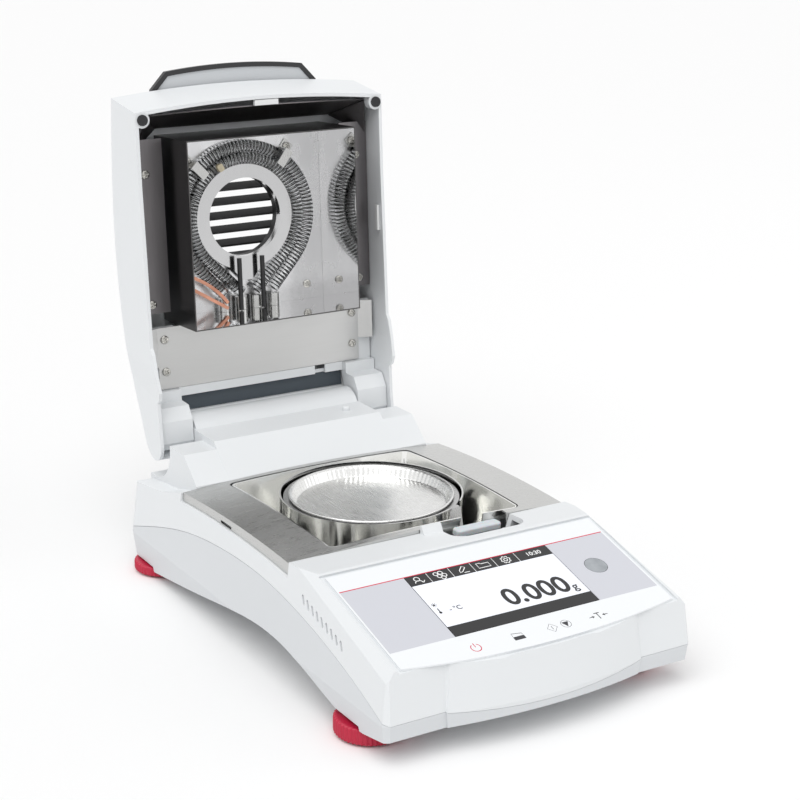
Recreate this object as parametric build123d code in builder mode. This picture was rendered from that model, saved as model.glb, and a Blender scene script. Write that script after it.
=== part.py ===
"""Moisture analyzer: a balance with a heated, hinged lid, shown with the lid swung open.

Millimetres, +Z up, front towards -Y, resting on its four levelling feet at Z = 0.
The lid is drawn shut and every lid piece is swung open about the hinge when it is written.
"""

from math import acos, atan2, cos, degrees, radians, sin, sqrt

from build123d import *
import os

os.makedirs("parts", exist_ok=True)

# Driving dimensions of the whole instrument
pan_y = 3.3                # centre of the weighing pan
base_half = 101.0          # half width at the waist of the housing
front_y = pan_y - 184.6    # face of the two front corner blocks
front_bulge = 9.4          # how far the middle of the front swells past the corner blocks
rear_y = pan_y + 147.0     # back of the housing
waist_z = 25.0             # widest level of the housing
side_draft = 7.0           # degrees, mould draft of both housings
wall = 2.5                 # plastic wall thickness
gap = 0.3                  # clearance between pieces that only touch

# Steel cover plate and the heating chamber's well
cover_front = pan_y - 70.2
cover_back = pan_y + 70.7
cover_half = 94.2
cover_z = 77.2             # crown of the cover plate at the well
sheet = 1.0
well_half = 66.0
well_floor_z = 45.0

# Control panel
panel_back = (pan_y - 101.5, 75.9)
panel_front = (pan_y - 180.0, 54.2)
film_half = 89.0
film_bulge = 8.0
film_t = 0.5
lcd_w, lcd_h = 95.0, 54.0

# Hinge and lid
hinge_y = pan_y + 133.9
hinge_z = 85.9
open_angle = 93.0
lid_half = 88.5
lid_wall = 2.2
rim_drop = 8.4             # the lid's rim plane lies this far below the hinge axis
lid_reach = 212.5          # hinge axis to the front corners of the rim
lip_bulge = 5.0
roof_up = 36.5             # crown of the roof above the hinge axis
barrel_r = 15.0
shaft_r = 3.0
plunger_x = 44.0
strip_up = 8.2             # steel strips and plate of the lid, above the hinge axis
arm_near, arm_far = 62.0, 84.6
bumper_r = 3.4
bumper_deep = 4.5          # depth of the blind hole a bumper sits in
bumper_x, bumper_out = 83.8, 207.8

# Reflector box in the lid
box_half = 60.5
box_near, box_far = 73.0, 194.0
box_deep = 20.8            # its open edge, below the hinge axis
box_up = 31.0              # its back panel, above the hinge axis
hole_out = 135.5           # hinge axis to the centre of the sight hole
hole_r = 26.2

# Weighing pan, wind ring and pan lifter
pan_rim_r = 51.0
pan_top_z = 77.4
pan_deep = 7.0
ring_r = 56.5
ring_top_z = 77.6

# Levelling feet
foot_x = 83.5
foot_front_y = pan_y - 140.8
foot_rear_y = pan_y + 125.5
foot_r = 20.5

hinge_axis = Axis((0, hinge_y, hinge_z), (1, 0, 0))


def save(builder, name, in_lid=False):
    """Write one piece; lid pieces are swung from shut to open first."""
    shape = builder.part.rotate(hinge_axis, -open_angle) if in_lid else builder.part
    shape.label = name
    export_step(shape, f"parts/{name}.step")


def lid(out, up):
    """A point of the shut lid's side view: out in front of the hinge axis, up above it."""
    return (hinge_y - out, hinge_z + up)


# Side view of the housing: the parting line rises in one arc from the back to the front
parting = [(rear_y + 2, 25.0), (pan_y + 116, 35.5), (pan_y + 62, 49.6), (pan_y + 4, 56.4),
           (pan_y - 40, 56.8), (pan_y - 90, 51.0), (pan_y - 140, 40.0), (front_y - 14, 20.0)]
panel_slope = degrees(atan2(panel_back[1] - panel_front[1], panel_back[0] - panel_front[0]))
panel_mid = ((panel_back[0] + panel_front[0]) / 2, (panel_back[1] + panel_front[1]) / 2)
panel_len = sqrt((panel_back[0] - panel_front[0]) ** 2 + (panel_back[1] - panel_front[1]) ** 2)
tilt = radians(panel_slope)
panel = Plane(origin=(0, panel_mid[0], panel_mid[1]), x_dir=(1, 0, 0), z_dir=(0, -sin(tilt), cos(tilt)))
ridge = (panel_back[0] + 4.5 * cos(tilt), panel_back[1] + 4.5 * sin(tilt))
nose = (front_y - 16, panel_front[1] - (panel_front[0] - front_y + 16) * sin(tilt) / cos(tilt))


# Plan view at the waist: straight sides, rounded back corners, swelling front
block = 64.0
with BuildSketch() as base_outline:
    with BuildLine():
        Polyline((block, front_y), (base_half - 3, front_y), (base_half, front_y + 3),
                 (base_half, rear_y - 12))
        RadiusArc((base_half, rear_y - 12), (base_half - 12, rear_y), -12)
        Line((base_half - 12, rear_y), (-base_half + 12, rear_y))
        RadiusArc((-base_half + 12, rear_y), (-base_half, rear_y - 12), -12)
        Polyline((-base_half, rear_y - 12), (-base_half, front_y + 3), (-base_half + 3, front_y),
                 (-block, front_y), (-block, front_y - 1))
        ThreePointArc((-block, front_y - 1), (0, front_y - front_bulge), (block, front_y - 1))
        Line((block, front_y - 1), (block, front_y))
    make_face()

# The drafted block both housings are cut from, widest at the waist
with BuildPart() as base_block:
    for way in (1, -1):
        with BuildSketch(Plane.XY.offset(waist_z)):
            add(base_outline.sketch)
        extrude(amount=way * (95 if way > 0 else 25), taper=side_draft)


# Openings in the back wall for the mains inlet and the data ports
with BuildSketch() as socket_windows:
    for x, w, h in ((-57, 30, 22), (10, 32, 12), (42, 14, 8), (64, 14, 14)):
        with Locations((x, 28)):
            RectangleRounded(w + 0.4, h + 0.4, 1.0)


def deck_z(y):
    """Arched seat of the cover plate's skirt."""
    return 66.2 + 3.0 * (1 - ((y - pan_y) / 71) ** 2)


with BuildPart() as upper_housing:
    add(base_block.part)
    with BuildSketch(Plane.YZ):
        with BuildLine():
            Spline(*[(y, z + gap / 2) for y, z in parting])
            Polyline((parting[-1][0], parting[-1][1] + gap / 2), (nose[0], nose[1]), ridge,
                     (cover_front - gap, 75.4), (cover_front - gap, deck_z(cover_front)))
            ThreePointArc((cover_front - gap, deck_z(cover_front)), (pan_y, deck_z(pan_y)),
                          (cover_back + gap, deck_z(cover_back)))
            Polyline((cover_back + gap, deck_z(cover_back)), (cover_back + gap, 71.6),
                     (pan_y + 98, 64.2), (rear_y - 8, 59.0), (rear_y + 2, 52.0),
                     (parting[0][0], parting[0][1] + gap / 2))
        make_face()
    extrude(amount=base_half + 10, both=True, mode=Mode.INTERSECT)
    # sloping shoulders either side of the control panel
    for side in (1, -1):
        edge_a, edge_b = Vector(side * 97.5, cover_front, 75.0), Vector(side * 97.5, front_y, 48.0)
        top = Vector(side * 91.0, ridge[0], ridge[1])
        normal = (edge_b - edge_a).cross(top - edge_a).normalized() * side
        split(bisect_by=Plane(origin=edge_a, z_dir=normal), keep=Keep.BOTTOM if normal.Z > 0 else Keep.TOP)
    # hinge tower: sloping front, low ends and a rounded barrel between the lid's arms
    tower_back = hinge_y + 8
    for half, top_z, top_y in ((84.6, 89.3, pan_y + 89.1), (61.5, 93.4, pan_y + 93.2)):
        with BuildSketch(Plane.YZ):
            with BuildLine():
                Polyline((cover_back + gap, 62), (cover_back + gap, 73.8), (top_y, top_z),
                         (tower_back - 12, top_z), (tower_back, 70), (tower_back, 58),
                         (cover_back + gap, 62))
            make_face()
        extrude(amount=half, both=True)
    with BuildSketch(Plane.YZ):
        with Locations((hinge_y, hinge_z)):
            Circle(barrel_r)
        with Locations((hinge_y - 3, (hinge_z + 58) / 2)):
            Rectangle(2 * barrel_r - 6, hinge_z - 58)
    extrude(amount=60.5, both=True)
    # pockets that let the lid's arms and side walls turn round the hinge axis
    with BuildSketch(Plane.YZ.offset(61.5)):
        with Locations((hinge_y, hinge_z)):
            Circle(24)
        with Locations((hinge_y + 20, hinge_z)):
            Rectangle(40, 48)
    pocket = extrude(amount=60, mode=Mode.SUBTRACT)
    mirror(pocket, about=Plane.YZ, mode=Mode.SUBTRACT)
    with BuildSketch(Plane.YZ):
        with Locations((hinge_y, hinge_z)):
            Circle(shaft_r + 0.02)
    extrude(amount=70, both=True, mode=Mode.SUBTRACT)
    # inside of the shell, one wall in from the outside
    with BuildSketch(Plane.YZ):
        with BuildLine():
            inner = [(rear_y - wall - 3, 10), (front_y + wall, 10), (front_y + wall, 46.0),
                     (ridge[0], ridge[1] - wall - 1.2), (cover_front - 4, 75.4 - wall),
                     (cover_front - 4, deck_z(cover_front) - wall), (cover_back - 2, deck_z(cover_back) - wall),
                     (cover_back + 16, 73.6), (pan_y + 102, 82), (hinge_y - 20, 62),
                     (rear_y - 14, 56), (rear_y - wall - 3, 50)]
            Polyline(*inner, close=True)
        make_face()
    extrude(amount=60.0, both=True, mode=Mode.SUBTRACT)
    with BuildSketch(Plane.YZ):
        with BuildLine():
            inner = [(rear_y - 14, 10), (front_y + wall + 2, 10), (front_y + wall + 2, 44.0),
                     (ridge[0], ridge[1] - 9), (cover_front - 4, 66 - wall),
                     (cover_back - 2, deck_z(cover_back) - wall), (pan_y + 96, 60.0), (rear_y - 14, 55.0)]
            Polyline(*inner, close=True)
        make_face()
    extrude(amount=92.0, both=True, mode=Mode.SUBTRACT)
    with BuildSketch(Plane.XY.offset(80)):
        with Locations((plunger_x, pan_y + 108)):
            Circle(2.5)
    extrude(amount=20, mode=Mode.SUBTRACT)
    with BuildSketch(Plane.XZ.offset(-(rear_y + 3))):
        add(socket_windows.sketch)
    extrude(amount=22, mode=Mode.SUBTRACT)
    # opening for the well, and the scoop where the pan lifter's grip lies
    with BuildSketch(Plane.XY.offset(50)):
        with Locations((0, pan_y)):
            Rectangle(2 * well_half + 5, 2 * well_half + 5)
    extrude(amount=60, mode=Mode.SUBTRACT)
    with BuildSketch(Plane.XY.offset(66.0)):
        with Locations((29, cover_front - 6)):
            RectangleRounded(44, 22, 6)
    extrude(amount=20, taper=-18, mode=Mode.SUBTRACT)
    # small wedge that steadies the cover's front edge
    with BuildSketch(Plane.YZ.offset(-9)):
        with BuildLine():
            Polyline((cover_front - 0.6, 74.0), (cover_front - 0.6, 80.2), (cover_front - 2.2, 80.2),
                     (cover_front - 5.4, 75.2), (cover_front - 5.4, 74.0), close=True)
        make_face()
    extrude(amount=13)
    # recess and groove of the control panel's film
    for grow, deep in ((2.6, 1.5), (gap, 1.1)):
        with BuildSketch(panel):
            with BuildLine():
                half, low = film_half + grow, panel_len / 2 + grow
                Polyline((-half, -low), (-half, low), (half, low), (half, -low))
                ThreePointArc((half, -low), (0, -low - film_bulge), (-half, -low))
            make_face()
            if grow > 1:
                with BuildLine():
                    half, low = film_half + gap, panel_len / 2 + gap
                    Polyline((-half, -low), (-half, low), (half, low), (half, -low))
                    ThreePointArc((half, -low), (0, -low - film_bulge), (-half, -low))
                make_face(mode=Mode.SUBTRACT)
        extrude(amount=-deep, mode=Mode.SUBTRACT)
    with BuildSketch(panel):
        with Locations((0, -0.8)):
            Rectangle(lcd_w + 8, lcd_h + 8)
        with Locations((65.2, 0)):
            Circle(8.6)
    extrude(amount=-12, mode=Mode.SUBTRACT)
    # nine slanted air slots low on each side
    for n in range(9):
        y, z = pan_y - 90.1 - 5.5 * n, 60.6 - 1.24 * n
        with BuildSketch(Plane.YZ.offset(88)):
            with Locations((y, z)):
                SlotOverall(6.0, 2.0, rotation=62)
        slot = extrude(amount=20, mode=Mode.SUBTRACT)
        mirror(slot, about=Plane.YZ, mode=Mode.SUBTRACT)
save(upper_housing, "upper_housing")


# Lower housing: the tray under the parting line, arched underneath
belly = [(rear_y - 2, 4.0), (rear_y - 26, 4.0), (pan_y + 86, 9.0), (pan_y + 29, 18.0), (pan_y - 24, 26.5),
         (pan_y - 60, 28.0), (pan_y - 94, 23.5), (pan_y - 126, 14.5), (pan_y - 159, 11.0)]
with BuildPart() as lower_housing:
    add(base_block.part)
    with BuildSketch(Plane.YZ):
        with BuildLine():
            Spline(*[(y, z - gap / 2) for y, z in parting])
            Polyline((parting[-1][0], parting[-1][1] - gap / 2), (front_y - 14, 19.0), belly[-1])
            Spline(*reversed(belly[1:]))
            Polyline(belly[1], belly[0], (rear_y + 2, 8.0), (parting[0][0], parting[0][1] - gap / 2))
        make_face()
    extrude(amount=base_half + 10, both=True, mode=Mode.INTERSECT)
    with BuildSketch(Plane.YZ):
        with BuildLine():
            Polyline((front_y + 4, 60), (front_y + 4, 27), (pan_y - 158, 14.5), (pan_y - 129, 17.5))
            Spline((pan_y - 129, 17.5), (pan_y - 94, 26.5), (pan_y - 60, 31.0), (pan_y - 24, 29.5),
                   (pan_y + 29, 21.0), (pan_y + 86, 12.0), (rear_y - 26, 7.0))
            Polyline((rear_y - 26, 7.0), (rear_y - 5, 7.0), (rear_y - 5, 60), (front_y + 4, 60))
        make_face()
    extrude(amount=94.0, both=True, mode=Mode.SUBTRACT)
    with BuildSketch(Plane.XZ.offset(-(rear_y + 3))):
        add(socket_windows.sketch)
    extrude(amount=22, mode=Mode.SUBTRACT)
    # round wells under the corners where the levelling feet turn
    with BuildSketch(Plane.XY):
        for x in (foot_x, -foot_x):
            with Locations((x, foot_front_y), (x, foot_rear_y)):
                Circle(4.2)
    extrude(amount=40, mode=Mode.SUBTRACT)
    for x in (foot_x, -foot_x):
        for y, top in ((foot_front_y, 15.0), (foot_rear_y, 10.5)):
            with BuildSketch(Plane.XY.offset(top)):
                with Locations((x, y)):
                    Circle(10)
                    Circle(4.2, mode=Mode.SUBTRACT)
            extrude(amount=9)
            with BuildSketch(Plane.XY):
                with Locations((x, y)):
                    Circle(foot_r + 1.0)
            extrude(amount=top - 1.5, mode=Mode.SUBTRACT)
save(lower_housing, "lower_housing")

# Levelling feet: a knurled wheel on a threaded stud turns on a pad that stays still
for tag, x, y in (("front_left", -foot_x, foot_front_y), ("front_right", foot_x, foot_front_y),
                  ("rear_left", -foot_x, foot_rear_y), ("rear_right", foot_x, foot_rear_y)):
    tall = 10.5 if "front" in tag else 7.4
    with BuildPart() as wheel:
        with BuildSketch(Plane.XY.offset(1.2)):
            with Locations((x, y)):
                Circle(foot_r)
        extrude(amount=tall - 1.2)
        chamfer(wheel.edges().filter_by(GeomType.CIRCLE), 0.8)
        with BuildSketch(Plane.XY.offset(tall)):
            with Locations((x, y)):
                Circle(4.0)
        extrude(amount=14)
        with BuildSketch(Plane.XY.offset(1.2)):
            with Locations((x, y)):
                Circle(3.05)
        extrude(amount=4.0, mode=Mode.SUBTRACT)
    save(wheel, f"foot_wheel_{tag}")
    with BuildPart() as pad:
        with BuildSketch(Plane.XY):
            with Locations((x, y)):
                Circle(foot_r - 4)
        extrude(amount=0.9)
        with BuildSketch(Plane.XY):
            with Locations((x, y)):
                Circle(3.0)
        extrude(amount=4.6)
    save(pad, f"foot_pad_{tag}")

# Crown of the steel cover: one shallow arch from side to side, carried along another from front to back
def crowned(half, drop):
    """Solid under the cover's crown, half as wide as given and lowered by the drop."""
    with BuildPart() as solid:
        with BuildLine(Plane.YZ) as crown:
            ThreePointArc((cover_front - 4, cover_z - drop), (pan_y - 10, cover_z + 1.8 - drop),
                          (cover_back + 4, cover_z - 2.2 - drop))
        start = crown.line @ 0
        with BuildSketch(Plane(origin=start, x_dir=(-1, 0, 0), z_dir=crown.line % 0)):
            with BuildLine():
                ThreePointArc((-half, -side_fall), (0, 0), (half, -side_fall))
                Polyline((half, -side_fall), (half, -32), (-half, -32), (-half, -side_fall))
            make_face()
        sweep()
    return solid.part


side_fall = 3.4            # fall of the cover from its middle to its folded sides

# Steel cover plate: one folded sheet, crowned at the well, skirts down to the deck
with BuildPart() as chamber_cover:
    add(crowned(cover_half, 0))
    with BuildSketch(Plane.XY.offset(30)):
        with Locations((0, (cover_front + cover_back) / 2)):
            Rectangle(2 * cover_half + 2, cover_back - cover_front)
    extrude(amount=70, mode=Mode.INTERSECT)
    with BuildPart(mode=Mode.SUBTRACT):
        add(crowned(cover_half - sheet, sheet))
        with BuildSketch(Plane.XY.offset(30)):
            with Locations((0, (cover_front + cover_back) / 2)):
                Rectangle(2 * cover_half + 2, cover_back - cover_front - 2 * sheet)
        extrude(amount=70, mode=Mode.INTERSECT)
    with BuildSketch(Plane.YZ):
        with BuildLine():
            ThreePointArc((cover_front - 1, deck_z(cover_front - 1) + gap), (pan_y, deck_z(pan_y) + gap),
                          (cover_back + 1, deck_z(cover_back + 1) + gap))
            Polyline((cover_back + 1, deck_z(cover_back + 1) + gap), (cover_back + 1, 30), (cover_front - 1, 30),
                     (cover_front - 1, deck_z(cover_front - 1) + gap))
        make_face()
    extrude(amount=110, both=True, mode=Mode.SUBTRACT)
    with BuildSketch(Plane.XY.offset(50)):
        with Locations((0, pan_y)):
            RectangleRounded(2 * well_half, 2 * well_half - 1, 5)
        with Locations((29, cover_front + 1)):
            Rectangle(46, 12)
    extrude(amount=60, mode=Mode.SUBTRACT)
    with BuildSketch(Plane.YZ.offset(85)):
        with Locations((pan_y + 10, 70.8)):
            Rectangle(14, 1.8)
    slot = extrude(amount=20, mode=Mode.SUBTRACT)
    mirror(slot, about=Plane.YZ, mode=Mode.SUBTRACT)
save(chamber_cover, "chamber_cover")

# Mirror-polished well: a deep-drawn tray with flared walls, with a notch for the lifter
well_flare = 7.2           # each wall leans out by this much up to the cover
with BuildPart() as chamber_well:
    for inset, way in ((0.0, Mode.ADD), (sheet, Mode.SUBTRACT)):
        half = well_half - gap - inset
        for up, wide in ((well_floor_z + inset, half - well_flare), (cover_z + 4, half + 0.9)):
            with BuildSketch(Plane.XY.offset(up)):
                with Locations((0, pan_y)):
                    RectangleRounded(2 * wide, 2 * wide - 1, 5 - 2 * inset)
        loft(mode=way)
    add(crowned(cover_half, 0.4), mode=Mode.INTERSECT)
    with BuildSketch(Plane.XY.offset(well_floor_z - 1)):
        with Locations((0, pan_y)):
            Circle(9)
    extrude(amount=4, mode=Mode.SUBTRACT)
    with BuildSketch(Plane.XZ.offset(-pan_y)):
        with Locations((31, 75)):
            Rectangle(16, 27)
    extrude(amount=80, mode=Mode.SUBTRACT)
save(chamber_well, "chamber_well")

# Thin polished wind ring round the pan, notched where the lifter's arm passes
arm_x = 31.0
with BuildPart() as wind_ring:
    with BuildSketch(Plane.XY.offset(well_floor_z + sheet + gap)):
        with Locations((0, pan_y)):
            Circle(ring_r)
    extrude(amount=ring_top_z - well_floor_z - sheet - gap)
    with BuildSketch(Plane.XY.offset(well_floor_z + sheet + gap + 1.0)):
        with Locations((0, pan_y)):
            Circle(ring_r - 1.0)
    extrude(amount=60, mode=Mode.SUBTRACT)
    with BuildSketch(Plane.XY):
        with Locations((0, pan_y)):
            Circle(14)
    extrude(amount=70, mode=Mode.SUBTRACT)
    with BuildSketch(Plane.XZ.offset(-pan_y)):
        with Locations((arm_x, 75)):
            Rectangle(13, 26)
    extrude(amount=80, mode=Mode.SUBTRACT)
save(wind_ring, "wind_ring")

# Pan support: a stem from the weighing cell up to a three-armed star
support_top = pan_top_z - pan_deep - gap
with BuildPart() as pan_support:
    with BuildSketch(Plane.XY.offset(41.5)):
        with Locations((0, pan_y)):
            Circle(4)
    extrude(amount=support_top - 41.5)
    with BuildSketch(Plane.XY.offset(support_top - 2)):
        with Locations((0, pan_y)):
            Circle(9)
        for n in range(3):
            turn = radians(90 + 120 * n)
            with Locations(Location((20 * cos(turn), pan_y + 20 * sin(turn), 0), (0, 0, degrees(turn)))):
                SlotOverall(42, 6)
    extrude(amount=2)
save(pan_support, "pan_support")

# Pan lifter: a flat ring on three legs under the pan's wall, its grip out through the notch
with BuildPart() as pan_lifter:
    with BuildSketch(Plane.XY.offset(pan_top_z - 3.4)):
        with Locations((0, pan_y)):
            Circle(54.0)
            Circle(49.2, mode=Mode.SUBTRACT)
    extrude(amount=1.2)
    with BuildSketch(Plane.XY.offset(well_floor_z + sheet + 1.0 + 2 * gap)):
        for n in range(3):
            turn = radians(90 + 120 * n)
            with Locations((51.5 * cos(turn), pan_y + 51.5 * sin(turn))):
                Circle(1.2)
    extrude(until=Until.NEXT)
    with BuildSketch(Plane.YZ.offset(arm_x - 5)):
        with BuildLine():
            Polyline((pan_y - 41, pan_top_z - 2.2), (pan_y - 45, pan_top_z - 2.2), (pan_y - 48, 64.2),
                     (pan_y - 66.0, 64.2), (pan_y - 68.6, 70.5), (pan_y - 76, 70.5), (pan_y - 76, 69.4),
                     (pan_y - 69.4, 69.4), (pan_y - 66.9, 63.0), (pan_y - 46.8, 63.0),
                     (pan_y - 43.8, pan_top_z - 3.4), (pan_y - 41, pan_top_z - 3.4), close=True)
        make_face()
    extrude(amount=10)
save(pan_lifter, "pan_lifter")

# Frosted grip moulded on the lifter's arm
with BuildPart() as lifter_grip:
    with BuildSketch(Plane.XY.offset(70.5 + 0.1)):
        with Locations((29, pan_y - 73.0)):
            RectangleRounded(31, 8, 2.5)
    extrude(amount=3.6)
    fillet(lifter_grip.faces().sort_by(Axis.Z)[-1].edges(), 1.2)
save(lifter_grip, "lifter_grip")

# Sample pan: pressed foil, flat floor, flared wall and a rolled rim
with BuildPart() as sample_pan:
    with BuildSketch(Plane.XZ.offset(-pan_y)):
        with BuildLine():
            z0 = pan_top_z - pan_deep
            Polyline((0, z0), (46.0, z0), (48.4, pan_top_z - 1.0), (pan_rim_r, pan_top_z - 1.0),
                     (pan_rim_r, pan_top_z), (47.6, pan_top_z), (45.3, z0 + 0.6), (0, z0 + 0.6), close=True)
        make_face()
    revolve(axis=Axis((0, pan_y, 0), (0, 0, 1)))
save(sample_pan, "sample_pan")


# Film of the control panel: one printed sheet, clear over the display and the spirit level
with BuildPart() as panel_film:
    with BuildSketch(panel.offset(-1.1 + 0.05)):
        with BuildLine():
            half, low = film_half, panel_len / 2
            Polyline((-half, -low), (-half, low), (half, low), (half, -low))
            ThreePointArc((half, -low), (0, -low - film_bulge), (-half, -low))
        make_face()
        with Locations((0, -0.8)):
            Rectangle(lcd_w + 0.4, lcd_h + 0.4, mode=Mode.SUBTRACT)
        with Locations((65.2, 0)):
            Circle(6.9, mode=Mode.SUBTRACT)
    extrude(amount=1.0)
save(panel_film, "panel_film")

# Touch display: the glass in the film's window and the module behind it
with BuildPart() as display_glass:
    with BuildSketch(panel.offset(-1.6)):
        with Locations((0, -0.8)):
            Rectangle(lcd_w, lcd_h)
    extrude(amount=1.5)
save(display_glass, "display_glass")
with BuildPart() as display_module:
    with BuildSketch(panel.offset(-6.6)):
        with Locations((0, -0.8)):
            Rectangle(lcd_w + 7, lcd_h + 7)
    extrude(amount=4.8)
save(display_module, "display_module")

# Round spirit level: plastic cup and its domed glass
with BuildPart() as level_cup:
    with BuildSketch(panel.offset(-8)):
        with Locations((65.2, 0)):
            Circle(8.2)
    extrude(amount=6.8)
    with BuildSketch(panel.offset(-7)):
        with Locations((65.2, 0)):
            Circle(6.7)
    extrude(amount=8, mode=Mode.SUBTRACT)
save(level_cup, "level_cup")
with BuildPart() as level_vial:
    with BuildSketch(panel.offset(-6.9)):
        with Locations((65.2, 0)):
            Circle(6.6)
    extrude(amount=6.8)
save(level_vial, "level_vial")

# Electronics and weighing cell inside the housing
board_z = 24.3
with BuildPart() as main_board:
    with BuildSketch(Plane.XY.offset(board_z)):
        with Locations((0, pan_y - 148)):
            Rectangle(150, 44)
            with GridLocations(140, 34, 2, 2):
                Circle(1.7, mode=Mode.SUBTRACT)
    extrude(amount=1.6)
    with BuildSketch(Plane.XY.offset(board_z + 1.6)):
        with Locations((-35, pan_y - 148), (20, pan_y - 144)):
            Rectangle(22, 22)
        with Locations((52, pan_y - 148)):
            Rectangle(16, 30)
    extrude(amount=4)
save(main_board, "main_board")
with BuildPart() as power_supply:
    with BuildSketch(Plane.XY.offset(22)):
        with Locations((-52, pan_y + 106)):
            Rectangle(64, 44)
    extrude(amount=1.6)
    with BuildSketch(Plane.XY.offset(23.6)):
        with Locations((-38, pan_y + 106)):
            Rectangle(24, 28)
        with Locations((-68, pan_y + 112)):
            Circle(8)
    extrude(amount=20)
save(power_supply, "power_supply")
cell_low = 33.0
with BuildPart() as weighing_cell:
    with BuildSketch(Plane.YZ):
        with Locations((pan_y + 28, cell_low + 5)):
            Rectangle(72, 10)
            with Locations((-8, 0), (8, 0)):
                Circle(3.2, mode=Mode.SUBTRACT)
            Rectangle(16, 2.4, mode=Mode.SUBTRACT)
    extrude(amount=11, both=True)
    with BuildSketch(Plane.XY.offset(cell_low + 8)):
        with Locations((0, pan_y)):
            Circle(4.05)
    extrude(amount=5, mode=Mode.SUBTRACT)
save(weighing_cell, "weighing_cell")
with BuildPart() as cell_bracket:
    with BuildSketch(Plane.YZ):
        with BuildLine():
            y0 = pan_y + 46
            Polyline((y0, cell_low - 0.1), (y0, 20.2), (y0 + 30, 15.2), (y0 + 30, cell_low - 0.1), close=True)
        make_face()
    extrude(amount=15, both=True)
save(cell_bracket, "cell_bracket")


# Hinge shaft through the barrel and both arms
with BuildPart() as hinge_shaft:
    with BuildSketch(Plane.YZ):
        with Locations((hinge_y, hinge_z)):
            Circle(shaft_r)
    extrude(amount=arm_far - 0.2, both=True)
save(hinge_shaft, "hinge_shaft")

# Lid shell: moulded hood with an arched roof, leaning front and narrowed hinge ears
lean = radians(11.0)
roof = [(-11, -7), (-7.5, 2), (2, 8.4), (12, 12.2), (26, 18.5), (53, 27.5), (85, 33.5), (128, roof_up), (184, 33),
        (226, 27)]
rim = [(226, -rim_drop), (165, -rim_drop), (120, -9.6), (64, -10.9), (60, -13.6), (36, -19.5), (31, -18.0),
       (29, -15.0), (10, -15.5), (0, -16.5)]
with BuildPart() as lid_shell:
    for inset, way in ((0.0, Mode.ADD), (lid_wall, Mode.SUBTRACT)):
        with BuildSketch(Plane.YZ):
            with BuildLine():
                Spline(*[lid(out + (inset if out < 0 else 0), up - inset) for out, up in roof])
                if inset:
                    Polyline(lid(226, 27 - inset), lid(226, -40), lid(-11 + inset, -40), lid(-11 + inset, -7 - inset))
                else:
                    Polyline(lid(226, 27), *[lid(*p) for p in rim])
                    ThreePointArc(lid(0, -16.5), lid(-8, -13.5), lid(-11, -7))
            make_face()
        side_view = extrude(amount=110, both=True, mode=Mode.PRIVATE)
        with BuildSketch(Plane.XY.offset(hinge_z - 40)):
            with BuildLine():
                w, ear = lid_half - inset, lid_half - 1.1 - inset
                far = hinge_y - lid_reach + inset + (40 - rim_drop) * sin(lean) / cos(lean)
                Polyline((w, far), (w, hinge_y - 44 + inset), (ear, hinge_y - 26 + inset), (ear, hinge_y + 20),
                         (-ear, hinge_y + 20), (-ear, hinge_y - 26 + inset), (-w, hinge_y - 44 + inset),
                         (-w, far))
                ThreePointArc((-w, far), (0, far - lip_bulge), (w, far))
            make_face()
        plan_view = extrude(amount=100, dir=(0, -sin(lean), cos(lean)), mode=Mode.PRIVATE)
        hood = side_view & plan_view
        add(hood, mode=way)
        if not inset:
            outside = hood
    # bosses in the rim's front corners, bored for the rubber bumpers
    with BuildSketch(Plane.XY.offset(hinge_z - rim_drop - 1)):
        with Locations((bumper_x, hinge_y - bumper_out), (-bumper_x, hinge_y - bumper_out)):
            Circle(bumper_r + 1.6)
    add(extrude(amount=bumper_deep + 2.6, mode=Mode.PRIVATE) & outside)
    with BuildSketch(Plane.XY.offset(hinge_z - rim_drop - 1)):
        with Locations((bumper_x, hinge_y - bumper_out), (-bumper_x, hinge_y - bumper_out)):
            Circle(bumper_r + 0.05)
    extrude(amount=bumper_deep + 1, mode=Mode.SUBTRACT)
    # the roof stops short of the barrel between the ears
    with BuildSketch(Plane.XY.offset(hinge_z - 40)):
        with Locations((0, hinge_y)):
            Rectangle(125, 24)
    extrude(amount=90, mode=Mode.SUBTRACT)
    # seat of the vent grille above the sight hole
    with BuildSketch(Plane.XY.offset(hinge_z + 20)):
        with Locations((0, hinge_y - hole_out)):
            RectangleRounded(86, 86, 12)
    extrude(amount=40, mode=Mode.SUBTRACT)
save(lid_shell, "lid_shell", in_lid=True)

# Vent grille let into the roof: a raised dark hood with slats across it
grille_up = roof_up + 8.0
with BuildPart() as lid_grille:
    with BuildSketch(Plane.XY.offset(hinge_z + 32.2)):
        with Locations((0, hinge_y - hole_out)):
            RectangleRounded(85.4, 85.4, 12)
    extrude(amount=grille_up - 32.2, taper=12)
    with BuildSketch(Plane.XY.offset(hinge_z + 30)):
        with Locations((0, hinge_y - hole_out)):
            RectangleRounded(74, 74, 9)
    extrude(amount=30, mode=Mode.SUBTRACT)
    with BuildSketch(Plane.YZ):
        for n in range(-3, 4):
            at = lid(hole_out + 9.4 * n, grille_up - 4.2)
            with Locations(Location((at[0], at[1], 0), (0, 0, 28))):
                Rectangle(1.6, 7.0)
    extrude(amount=37.6, both=True)
save(lid_grille, "lid_grille", in_lid=True)


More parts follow.
